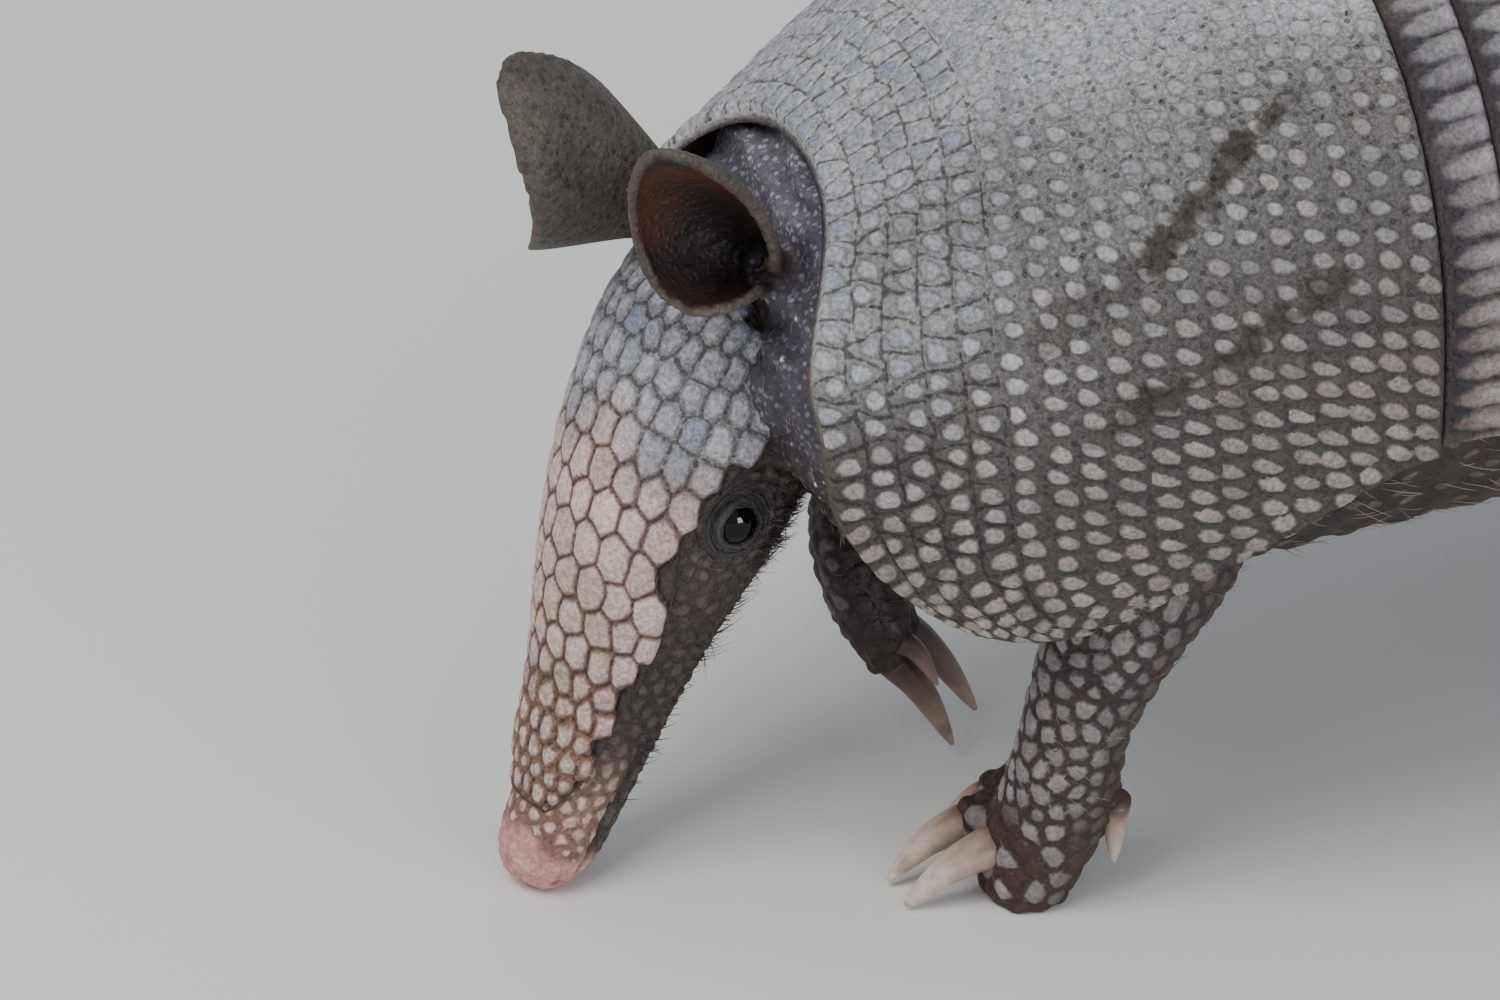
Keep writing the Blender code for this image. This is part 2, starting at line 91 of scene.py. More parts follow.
HEAD_PITCH, HEAD_YAW = math.radians(66), math.radians(13)
BACK, RISE = math.cos(HEAD_PITCH), math.sin(HEAD_PITCH)
TURN_COS, TURN_SIN = math.cos(HEAD_YAW), math.sin(HEAD_YAW)
NOSE = np.array((3.0, 0.0, 2.0))
# Along the head from the nose: distance, half width, height to the brow side, depth to the chin.
HEAD: Table = (
    (-2.0, 4.6, 3.8, 2.4),
    (0.5, 6.9, 5.6, 5.4),
    (5, 8.2, 6.3, 8.6),
    (14, 8.6, 6.6, 10.4),
    (30, 10.8, 9.3, 11.6),
    (45, 14.2, 13.6, 12.7),
    (58, 17.4, 16.2, 15.0),
    (70, 19.4, 17.4, 16.2),
    (85, 19.8, 17.0, 17.2),
    (97, 17.6, 13.4, 16.2),
    (105, 13.0, 8.2, 12.0),
    (109, 7.0, 3.5, 6.0),
)
# Face shield: distance along the head, half its arc in degrees.
FACE_SHIELD: Table = (
    (11, 34), (17, 60), (30, 72), (46, 72), (60, 62), (70, 69), (80, 79), (90, 74), (97, 46),
)
EYE = (15.4, 25.3, 60.3)

# Tail: x, y, z of its axis and its radius.
TAIL: Table = (
    (0, 296, 70, 15.5), (0, 318, 50, 14.5), (1, 338, 32, 12.8), (3, 362, 17, 11.4), (7, 395, 10.0, 10.0),
    (14, 440, 8.2, 8.3), (23, 490, 6.3, 6.4), (30, 540, 4.5, 4.6), (31, 590, 2.9, 3.0), (29, 622, 1.5, 1.6),
)

# Limbs: x, y, z of the axis, radius across the leg and radius fore and aft, from trunk to sole.
FORELEG_LEFT: Table = (
    (27, 90, 82, 14, 17), (35, 86, 62, 12, 14), (37, 78.5, 47, 9.8, 10.5), (36, 74, 34, 8.3, 8.4),
    (35, 72.5, 25, 8.4, 8.2),
    (32, 71.5, 15, 9, 8.5), (30, 69, 7, 8.8, 8), (29.5, 68, -1, 7.4, 6.6),
)
FORELEG_RIGHT: Table = (
    (-28, 86, 80, 14, 18), (-30, 77, 60, 12, 14), (-24, 65, 49, 9.5, 9.5), (-16.5, 57.5, 41.5, 7.4, 7),
    (-13.2, 56, 37.5, 7, 6.4),
    (-11.4, 57, 32, 8, 6.2), (-10, 58.5, 26.5, 8, 5.6), (-9.6, 60.5, 23, 6, 4),
)
HINDLEG: Table = (
    (30, 250, 86, 17, 26), (39, 242, 66, 15.5, 24), (46, 239, 48, 13, 17), (49, 246, 32, 10, 11),
    (50, 253, 20, 8.5, 9), (50, 257, 10, 8.5, 9.5), (50, 255, -1, 7, 8),
)
HIND_INSTEP: Table = (
    (50, 260, 7, 7.5, 5.5), (50.5, 244, 7, 9, 6), (51.5, 230, 7, 10.5, 6), (52, 224, 6, 9, 4.5),
)
JOINT_ROW = 4
RIGHT_HIND_STEP = 21.0

# Digits: name, knuckle, end of the flesh, claw tip, toe radius.
DIGITS_LEFT = (
    ("1", (22.5, 72, 15), (18, 66.5, 9.5), (15.5, 59, 0.9), 3.6),
    ("2", (26, 69, 12), (22.4, 61.5, 8.6), (22.4, 49.3, 0.9), 4.2),
    ("3", (30.5, 70, 12), (30.2, 64, 8.8), (29.4, 49.5, 0.9), 4.8),
    ("4", (35, 75.5, 18.6), (38, 79, 17.8), (36.6, 79.6, 6.6), 3.5),
)
DIGITS_RIGHT = (
    ("1", (-6.5, 57, 30), (-3.6, 60.5, 25), (-2.4, 66, 17.5), 2.9),
    ("2", (-7.6, 57, 27.5), (-6.4, 60.2, 20.6), (-6.2, 70, 4.0), 4.2),
    ("3", (-12, 58.5, 27.5), (-13.6, 64.5, 21.4), (-13.6, 76.5, 4.6), 4.2),
    ("4", (-14.4, 58, 30), (-18.4, 62.5, 25), (-23, 69, 16.5), 3.1),
)
DIGITS_HIND = (
    ("1", (43, 236, 8), (39.5, 229, 6), (37.5, 221.5, 0.9), 3.4),
    ("2", (46.5, 228, 7), (44.6, 219, 6), (43, 206.5, 0.9), 3.9),
    ("3", (51.5, 226, 7), (51.8, 215.5, 6.2), (51.8, 201.5, 0.9), 4.3),
    ("4", (57, 229, 7), (58.8, 220, 6), (60.4, 207.5, 0.9), 3.9),
    ("5", (59.5, 238, 8), (63, 232, 6), (65, 224.5, 0.9), 3.4),
)

# Neck: body sections and how far each is drawn in.
NECK: Table = ((35, 0.36), (38.5, 0.68), (41.5, 0.88), (44.5, 0.96), (51, 1.0), (60, 0.98), (72, 0.9))
NECK_INSET, BELLY_TUCK = 3.8, 9.0

# Ears in the head's own directions: root, tip, the way the cup opens and its spread.
EARS = {
    "ear_left": ((13, 33, 97.2), (24.8, 10.6, 115.6), (0.85, -0.35, 0.25), 0.73),
    "ear_right": ((-12, 33, 96), (-20.2, 7.3, 112.6), (-0.96, 0.2, -0.1), 1.0),
}
# Along the ear: share of its length, cup radius, half the arc, how far its rear edge runs on and the
# front half's share of the arc.
EAR_CUP: Table = (
    (0.00, 4.6, 165, 0.0, 1.0), (0.14, 5.4, 155, 0.0, 1.0), (0.32, 8.0, 124, 0.5, 1.0),
    (0.52, 11.0, 104, 1.5, 1.0), (0.70, 13.0, 88, 3.4, 0.95), (0.86, 13.4, 74, 6.6, 0.78),
    (0.96, 12.8, 58, 9.4, 0.55), (1.02, 12.0, 32, 11.0, 0.3),
)


def curve(table: Table, place: Points | float) -> Points:
    """Reads a smooth curve through a table's rows.

    Args:
        table: Rows whose first column is the place along the curve.
        place: Where to read it.

    Returns:
        One row of the other columns for each place.
    """
    rows = np.asarray(table, float)
    x, v = rows[:, 0], rows[:, 1:]
    place = np.atleast_1d(np.asarray(place, float))
    low = np.maximum(np.arange(len(x)) - 1, 0)
    high = np.minimum(np.arange(len(x)) + 1, len(x) - 1)
    slope = (v[high] - v[low]) / (x[high] - x[low])[:, None]
    after = np.clip(np.searchsorted(x, place, side="right"), 1, len(x) - 1)
    before = after - 1
    span = (x[after] - x[before])[:, None]
    t = (place - x[before])[:, None] / span
    return (
        v[before] * (2 * t**3 - 3 * t**2 + 1) + slope[before] * span * (t**3 - 2 * t**2 + t)
        + v[after] * (3 * t**2 - 2 * t**3) + slope[after] * span * (t**3 - t**2)
    )


def along(points: Table) -> Table:
    """Puts the share of the whole length in front of each row of a path.

    Args:
        points: Rows that start with x, y and z.

    Returns:
        The table for curve().
    """
    p = np.asarray(points, float)
    steps = np.linalg.norm(np.diff(p[:, :3], axis=0), axis=1)
    share = np.concatenate([[0], np.cumsum(steps)]) / steps.sum()
    return tuple(tuple(row) for row in np.column_stack([share, p]))


def lengths(points: Points, axis: int = 0) -> Points:
    """Adds up the way from point to point."""
    steps = np.linalg.norm(np.diff(points, axis=axis), axis=-1)
    return np.insert(np.cumsum(steps, axis=axis), 0, 0, axis=axis)


def smooth(low: float, high: float, value: Points) -> Points:
    """Eases from 0 at low to 1 at high."""
    t = np.clip((value - low) / (high - low), 0, 1)
    return t * t * (3 - 2 * t)


def chance(*seeds: Points | float) -> Points:
    """Gives a steady random number from 0 to 1 for each set of seeds.

    Args:
        seeds: Whole numbers or arrays of them.

    Returns:
        The numbers.
    """
    total = sum(np.asarray(s, float) * k for s, k in zip(seeds, (127.1, 311.7, 74.7, 191.3)))
    value = np.sin(total) * 43758.5453
    return value - np.floor(value)


def noise(points: Points, size: float, seed: float = 0.0) -> Points:
    """Gives smooth noise from 0 to 1 at points in space.

    Args:
        points: Rows of x, y and z.
        size: The size of its blotches, in the points' unit.
        seed: Picks another noise.

    Returns:
        One value for each point.
    """
    p = points / size + seed * 17.3
    cell = np.floor(p)
    f = p - cell
    f = f * f * (3 - 2 * f)
    total = np.zeros(len(p))
    for corner in product((0, 1), repeat=3):
        share = np.where(corner, f, 1 - f)
        total += share[:, 0] * share[:, 1] * share[:, 2] * chance(*(cell + corner).T)
    return total


def rounded(share: Points) -> Points:
    """Gives how far a round edge drops, from 0 where it starts to 1 at its end."""
    return 1 - np.sqrt(1 - share**2)


def srgb(code: str) -> Points:
    """Turns a hex colour into linear light."""
    value = np.array([int(code[i:i + 2], 16) for i in (0, 2, 4)]) / 255
    return np.where(value <= 0.04045, value / 12.92, ((value + 0.055) / 1.055) ** 2.4)


def mix(a: Points | str, b: Points | str, share: Points) -> Points:
    """Blends two colours or two arrays of colours.

    Args:
        a: The colour at share 0, or its hex code.
        b: The colour at share 1.
        share: How far to go from a to b, one value for each row.

    Returns:
        The blended rows.
    """
    a, b = (srgb(colour) if isinstance(colour, str) else colour for colour in (a, b))
    share = np.clip(share, 0, 1)[:, None]
    return np.atleast_2d(a) * (1 - share) + np.atleast_2d(b) * share


def body_point(y: Points, angle: Points, inset: float = 0.0, taper: Points | float = 1.0,
               flesh: bool = False) -> Points:
    """Places points on the body, so many degrees round from the back; a positive angle is the left side.

    Args:
        y: The sections' places.
        angle: Degrees round from the back.
        inset: How far inside the armour's outside to go.
        taper: A share by which the section is drawn in.
        flesh: True for the belly's line, False for the armour's.

    Returns:
        Rows of x, y and z.
    """
    centre, middle, width, rise, armour_drop, belly_drop, tilt = curve(BODY, y).T
    a, lean = np.radians(angle), np.radians(tilt)
    if flesh:
        width = width - BELLY_TUCK * np.clip((np.abs(angle) - 84) / 40, 0, 1)
    height = np.where(np.abs(angle) <= 90, rise, belly_drop if flesh else armour_drop) - inset
    across = (width - inset) * taper * np.sign(np.sin(a)) * np.abs(np.sin(a)) ** (2 / ROUNDNESS)
    up = height * taper * np.sign(np.cos(a)) * np.abs(np.cos(a)) ** (2 / ROUNDNESS)
    return np.column_stack([centre + across, y - up * np.sin(lean), middle + up * np.cos(lean)])


def from_head(points: Points) -> Points:
    """Turns points given in the head's own directions into the body's.

    Args:
        points: Rows of x, y and z from the nose.

    Returns:
        Rows of x, y and z.
    """
    x, y, z = np.atleast_2d(np.asarray(points, float)).T
    return NOSE + np.column_stack([x * TURN_COS - y * TURN_SIN, x * TURN_SIN + y * TURN_COS, z])


def to_head(points: Points) -> Points:
    """Finds where points lie on the head.

    Args:
        points: Rows of x, y and z.

    Returns:
        Rows of distance from the nose, degrees round from the brow, and distance out from the axis.
    """
    p = np.atleast_2d(points) - NOSE
    x, y = p[:, 0] * TURN_COS + p[:, 1] * TURN_SIN, -p[:, 0] * TURN_SIN + p[:, 1] * TURN_COS
    distance, out = y * BACK + p[:, 2] * RISE, -y * RISE + p[:, 2] * BACK
    return np.column_stack([distance, np.degrees(np.arctan2(x, out)), np.hypot(x, out)])


def head_point(distance: Points, angle: Points, grow: Points | float = 0.0) -> Points:
    """Places points on the head.

    Args:
        distance: How far from the nose along the head.
        angle: Degrees round from the brow side; a positive angle is the left side.
        grow: How far outside the head to go.

    Returns:
        Rows of x, y and z.
    """
    width, brow, chin = curve(HEAD, distance).T
    a = np.radians(angle)
    out = (np.where(np.abs(angle) <= 90, brow, chin) + grow) * np.cos(a)
    return from_head(np.column_stack([
        (width + grow) * np.sin(a), distance * BACK - out * RISE, distance * RISE + out * BACK,
    ]))


def rings_round(points: Table, sides: int, steps: int) -> Points:
    """Places rings of points round an axis.

    Args:
        points: Rows of x, y, z, radius across and radius fore and aft.
        sides: Points in a ring.
        steps: Rings, less one.

    Returns:
        An array of rings by sides by x, y and z.
    """
    table = along(points)
    share = np.linspace(0, 1, steps + 1)
    row = curve(table, share)
    way = curve(table, np.minimum(share + 0.02, 1))[:, :3] - curve(table, np.maximum(share - 0.02, 0))[:, :3]
    way /= np.linalg.norm(way, axis=1)[:, None]
    side = np.array((1.0, 0, 0)) - way * way[:, :1]
    side /= np.linalg.norm(side, axis=1)[:, None]
    front = np.cross(way, side)
    turn = np.linspace(0, 2 * math.pi, sides, endpoint=False)
    return (
        row[:, None, :3]
        + side[:, None] * (row[:, 3, None, None] * np.cos(turn)[None, :, None])
        + front[:, None] * (row[:, 4, None, None] * np.sin(turn)[None, :, None])
    )


def mirrored(points: Table, shift: float) -> Table:
    """Moves a limb's path to the right side, with its foot a step back."""
    return tuple(
        (-p[0], p[1] + shift * min(row / JOINT_ROW, 1), *p[2:]) for row, p in enumerate(points)
    )


LIMBS = (FORELEG_LEFT, FORELEG_RIGHT, HINDLEG, mirrored(HINDLEG, RIGHT_HIND_STEP))
INSTEPS = (HIND_INSTEP, tuple((-p[0], p[1] + RIGHT_HIND_STEP, *p[2:]) for p in HIND_INSTEP))


class Placing:
    """Moves millimetres in the animal's directions to metres in the frame."""

    def __init__(self) -> None:
        """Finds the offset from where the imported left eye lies."""
        low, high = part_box("eye_left")
        middle = np.array([(a + b) / 2 for a, b in zip(low, high)])
        self.offset: Points = middle - from_head(EYE)[0] * MM

    def __call__(self, points: Points) -> Points:
        """Moves points to the frame."""
        return np.atleast_2d(points) * MM + self.offset


PLACE = Placing()


# Sizes of the scutes' ragged edge and of the pebbles between them, in metres.
RAGGED, PEBBLE = 0.0009, 0.0012


class Finish(Enum):
    """The surfaces the animal shows."""

    SCUTE = "keratin_scutes"
    SKIN = "armadillo_skin"
    HORN = "claw_horn"
    EYE = "wet_cornea"
    HAIR = "coarse_hair"
    FLOOR = "plain_pale_floor"


@dataclass(frozen=True)
class Nodes:
    """A material's nodes and how they are added.

    Attributes:
        tree: The node tree.
    """

    tree: bpy.types.NodeTree

    def add(self, kind: str, settings: dict | None = None, inputs: dict | None = None) -> bpy.types.Node:
        """Adds a shader node.

        Args:
            kind: The node's type, less its usual first words.
            settings: Its own properties.
            inputs: A socket to link from, or a value, for each input.

        Returns:
            The new node.
        """
        node = self.tree.nodes.new(f"ShaderNode{kind}")
        for key, value in (settings or {}).items():
            setattr(node, key, value)
        for key, value in (inputs or {}).items():
            if isinstance(value, Socket):
                self.tree.links.new(value, node.inputs[key])
            else:
                node.inputs[key].default_value = value
        return node

    def ramp(self, value: Socket, low: float, high: float, start: float, end: float,
             kind: str = "SMOOTHSTEP") -> Socket:
        """Eases a value from start at low to end at high."""
        return self.add("MapRange", {"interpolation_type": kind}, {
            "Value": value, "From Min": low, "From Max": high, "To Min": start, "To Max": end,
        }).outputs["Result"]

    def join(self, a: Socket, b: Socket | float, kind: str = "ADD") -> Socket:
        """Adds two values, or joins them by another of the Math node's operations."""
        return self.add("Math", {"operation": kind}, {0: a, 1: b}).outputs[0]


@dataclass(frozen=True)
class Surface:
    """One finish. Its colours come from the mesh's own attributes, with fine grain over them.

    Attributes:
        roughness: How matt it is.
        mottle: How strongly the fine noise shades the colour.
        grain: The size of the mottling in metres.
        bump: The height of its fine relief in metres.
        marked: True where the mesh marks scutes and cracks.
        gloss: How strongly it mirrors.
    """

    roughness: float
    mottle: float
    grain: float
    bump: float
    marked: bool = False
    gloss: float = 0.4

    def build(self, name: str) -> bpy.types.Material:
        """Makes the material.

        Args:
            name: Its name.

        Returns:
            A Principled material that reads the mesh's attributes.
        """
        made = bpy.data.materials.new(name)
        made.use_nodes = True
        nodes = Nodes(made.node_tree)
        shader = made.node_tree.nodes["Principled BSDF"]
        tint = nodes.add("Attribute", {"attribute_name": "tint"}).outputs["Color"]
        place = nodes.add("TexCoord").outputs["Object"]
        fine = nodes.add("TexNoise", {}, {
            "Vector": place, "Scale": 1 / self.grain, "Detail": 4.0, "Roughness": 0.68,
        }).outputs["Fac"]
        height = fine
        if self.marked:
            tint, height = self.marks(nodes, place, tint, fine)
        spread = nodes.ramp(fine, 0.3, 0.7, 1 - self.mottle, 1 + self.mottle * 0.8)
        shade = nodes.add("VectorMath", {"operation": "SCALE"}, {0: tint, "Scale": spread})
        nodes.tree.links.new(shade.outputs["Vector"], shader.inputs["Base Color"])
        if self.bump:
            relief = nodes.add("Bump", {}, {"Height": height, "Distance": self.bump, "Strength": 0.9})
            nodes.tree.links.new(relief.outputs["Normal"], shader.inputs["Normal"])
        shader.inputs["Roughness"].default_value = self.roughness
        shader.inputs["Specular IOR Level"].default_value = self.gloss
        return made

    @staticmethod
    def marks(nodes: Nodes, place: Socket, ground: Socket, fine: Socket) -> tuple[Socket, Socket]:
        """Draws scutes, cracks and pebbles with ragged edges from how far, in mm, each lies.

        Args:
            nodes: The material's nodes.
            place: Where the surface is.
            ground: The colour between scutes.
            fine: The fine noise.

        Returns:
            The colour and the relief.
        """
        marks = nodes.add("Attribute", {"attribute_name": "marks"}).outputs["Vector"]
        in_scute, in_crack, pebbly = nodes.add("SeparateXYZ", {}, {"Vector": marks}).outputs
        fill = nodes.add("Attribute", {"attribute_name": "fill"}).outputs["Color"]
        wave = nodes.add("TexNoise", {}, {
            "Vector": place, "Scale": 1 / RAGGED, "Detail": 2.0, "Roughness": 0.6,
        }).outputs["Fac"]
        wave = nodes.ramp(wave, 0.0, 1.0, -0.3, 0.3, "LINEAR")
        disc, crack = nodes.join(in_scute, wave), nodes.join(in_crack, wave)
        inside = nodes.ramp(disc, -0.22, 0.34, 0.0, 1.0)
        outline = nodes.join(nodes.ramp(disc, -0.5, -0.12, 0.0, 1.0), inside, "SUBTRACT")
        outline = nodes.ramp(outline, 0.0, 1.0, 1.0, 0.74)
        deep = nodes.ramp(crack, -0.12, 0.14, 1.0, 0.3)
        grit = nodes.add("TexVoronoi", {}, {"Vector": place, "Scale": 1 / PEBBLE}).outputs
        stone = nodes.ramp(grit["Distance"], 0.3, 0.5, 1.0, 0.0)
        net = nodes.add("TexVoronoi", {"feature": "DISTANCE_TO_EDGE"}, {
            "Vector": place, "Scale": 1 / PEBBLE,
        }).outputs["Distance"]
        net = nodes.ramp(net, 0.02, 0.16, 0.55, 0.0)
        net = nodes.join(net, nodes.join(pebbly, 0.0, "MAXIMUM"), "MULTIPLY")
        pick = nodes.add("SeparateXYZ", {}, {"Vector": grit["Color"]}).outputs["X"]
        spot = nodes.join(stone, nodes.ramp(pick, 0.1, 0.9, 0.1, 1.0), "MULTIPLY")
        spot = nodes.join(nodes.join(spot, pebbly, "MULTIPLY"), net)
        dark = nodes.ramp(spot, -4.0, 2.0, 3.0, 0.0, "LINEAR")
        scale = nodes.join(nodes.join(outline, deep, "MULTIPLY"), dark, "MULTIPLY")
        blend = nodes.add("Mix", {"data_type": "RGBA"}, {"Factor": inside, 6: ground, 7: fill})
        colour = nodes.add("VectorMath", {"operation": "SCALE"}, {0: blend.outputs[2], "Scale": scale})
        height = nodes.join(nodes.join(inside, deep), nodes.join(stone, fine))
        return colour.outputs["Vector"], height


SURFACES: dict[Finish, Surface] = {
    Finish.SCUTE: Surface(0.66, 0.36, 0.0007, 0.00013, marked=True),
    Finish.SKIN: Surface(0.62, 0.28, 0.0011, 0.00014, marked=True),
    Finish.HORN: Surface(0.42, 0.12, 0.0016, 0.00004),
    Finish.EYE: Surface(0.09, 0.0, 0.001, 0.0, gloss=0.25),
    Finish.HAIR: Surface(0.55, 0.15, 0.003, 0.0),
    Finish.FLOOR: Surface(0.9, 0.0, 0.01, 0.0),
}
MATERIALS = {finish: look.build(finish.value) for finish, look in SURFACES.items()}


def make_object(name: str, points: Points, faces: list, tint: Points, finish: Finish,
                fill: Points | None = None, marks: Points | None = None) -> Object:
    """Makes a piece from points in millimetres.

    Args:
        name: The object's name.
        points: Rows of x, y and z.
        faces: Lists of point numbers.
        tint: One linear colour for each point.
        finish: The material.
        fill: The colour of the scutes, if it has them; may stop short where the inner side begins.
        marks: How far inside a scute and a crack each point is, and how pebbly it is.

    Returns:
        The object, at the origin with its place in its mesh.
    """
    mesh = bpy.data.meshes.new(name)
    mesh.from_pydata(PLACE(points), [], faces)
    mesh.update()
    paint(mesh, tint, fill, marks)
    mesh.materials.append(MATERIALS[finish])
    outward(mesh)
    mesh.shade_smooth()
    obj = bpy.data.objects.new(name, mesh)
    bpy.context.scene.collection.objects.link(obj)
    return obj


def paint(mesh: Mesh, tint: Points, fill: Points | None = None, marks: Points | None = None) -> None:
    """Gives each point of a mesh its colours and marks.

    Args:
        mesh: The mesh.
        tint: One linear colour for each point.
        fill: The scutes' colour for each of the first points.
        marks: Their distances in millimetres inside a scute and a crack, and how pebbly they are.
    """
    count = len(mesh.vertices)
    for name, colour in (("tint", tint), ("fill", tint if fill is None else fill)):
        rgba = np.ones((count, 4), np.float32)
        rgba[:len(colour), :3] = np.clip(colour, 0, 1)
        mesh.color_attributes.new(name, "FLOAT_COLOR", "POINT").data.foreach_set("color", rgba.ravel())
    rows = np.tile(np.array((-9.0, -9.0, 0.0), np.float32), (count, 1))
    if marks is not None:
        rows[:len(marks)] = marks
    mesh.attributes.new("marks", "FLOAT_VECTOR", "POINT").data.foreach_set("vector", rows.ravel())


def outward(mesh: Mesh) -> None:
    """Turns every face to the outside.

    Args:
        mesh: A closed mesh.
    """
    bm = bmesh.new()
    bm.from_mesh(mesh)
    bmesh.ops.recalc_face_normals(bm, faces=bm.faces)
    bm.to_mesh(mesh)
    bm.free()


def normals(grid: Points) -> Points:
    """Finds the way out of a surface at each of its points."""
    out = np.cross(np.gradient(grid, axis=1), np.gradient(grid, axis=0))
    return out / np.maximum(np.linalg.norm(out, axis=2, keepdims=True), 1e-9)


def plate_faces(rows: int, columns: int, step: int) -> tuple[list, Points]:
    """Lists the faces of a plate whose inner side is a coarser grid than its outer side.

    Args:
        rows: Points down the outer side; one more than a multiple of step.
        columns: Points across it; one more than a multiple of step.
        step: How many outer squares one inner square spans.

    Returns:
        The faces, and the outer numbers above each inner point.
    """
    number = np.arange(rows * columns).reshape(rows, columns)
    faces = np.stack([number[:-1, :-1], number[1:, :-1], number[1:, 1:], number[:-1, 1:]], 2).reshape(-1, 4)
    above = number[::step, ::step]
    inner = np.arange(above.size).reshape(above.shape) + rows * columns
    under = np.stack([inner[:-1, :-1], inner[:-1, 1:], inner[1:, 1:], inner[1:, :-1]], 2).reshape(-1, 4)
    every = faces.tolist() + under.tolist()
    for outer_edge, inner_edge in (
        (number[0], inner[0]), (number[-1], inner[-1]),
        (number[:, 0], inner[:, 0]), (number[:, -1], inner[:, -1]),
    ):
        for i in range(len(inner_edge) - 1):
            strip = outer_edge[i * step:(i + 1) * step + 1].tolist()
            every.append(strip + [int(inner_edge[i + 1]), int(inner_edge[i])])
    return every, above.ravel()


class Scutes:
    """A field of scutes, each grown from its own site; the bigger its weight, the wider it grows."""

    def __init__(self, sites: Points, weights: Points, rows: Points | None = None) -> None:
        """Stores the sites.

        Args:
            sites: Rows of x, y and z.
            weights: How much wider than its neighbours each scute grows.
            rows: The row each belongs to where rows are kept apart.
        """
        self.sites, self.weights = sites, weights
        self.rows = np.zeros(len(sites)) if rows is None else rows
        self.tree = KDTree(len(sites))
        for number, site in enumerate(sites):
            self.tree.insert(site, number)
        self.tree.balance()

    def look_up(self, points: Points, rows: Points | None = None, near: int = 7) -> tuple[Points, ...]:
        """Finds the scute that each point lies on.

        Args:
            points: Rows of x, y and z.
            rows: The row each point is locked to, or -1 where it is free.
            near: How many sites to weigh.

        Returns:
            How far each point is from its scute's edge, from its middle, and the scute's number.
        """
        near = min(near, len(self.sites))
        reach = np.empty((len(points), near))
        number = np.empty((len(points), near), int)
        for i, point in enumerate(points):
            for j, (_, site, distance) in enumerate(self.tree.find_n(point, near)):
                reach[i, j] = distance
                number[i, j] = site
        weighed = reach - self.weights[number]
        if rows is not None:
            weighed += 50.0 * ((rows[:, None] >= 0) & (self.rows[number] != rows[:, None]))
        order = np.argsort(weighed, axis=1)[:, :2]
        pick = np.arange(len(points))
        first, second = weighed[pick, order[:, 0]], weighed[pick, order[:, 1]]
        return (second - first) / 2, reach[pick, order[:, 0]], number[pick, order[:, 0]]


@dataclass(frozen=True)
class Pattern:
    """How a shield's scutes are laid out, in millimetres.

    Attributes:
        rows: Rows of scutes from front to rear.
        pitch: Their spacing along a row at the back.
        narrowing: How much of the pitch is lost by the lower edge.
        framed: Rows at the front whose scutes fill their cells.
        brick: How long the blocks along the lower edge are.
        long: Half a scute's length.
        short: Half its width.
    """

    rows: int
    pitch: float
    narrowing: float
    framed: float
    brick: float
    long: float
    short: float


@dataclass(frozen=True)
class Palette:
    """The colours of armour, from a pale dusty coat on top, painted lighter for the light from above, to bare
    keratin lower down.
    """

    dust_and_top_light: str = "B9B7BA"
    slate: str = "868FA3"
    ground: str = "797674"
    pale: str = "B4B6BA"
    warm: str = "B9AFAA"
    low_ground: str = "4B433E"
    low_scute: str = "AA9A8F"
    crack: str = "30282A"
    dirt: str = "7A6A5C"
    scuff: str = "3E352C"
    inside: str = "6B5A50"


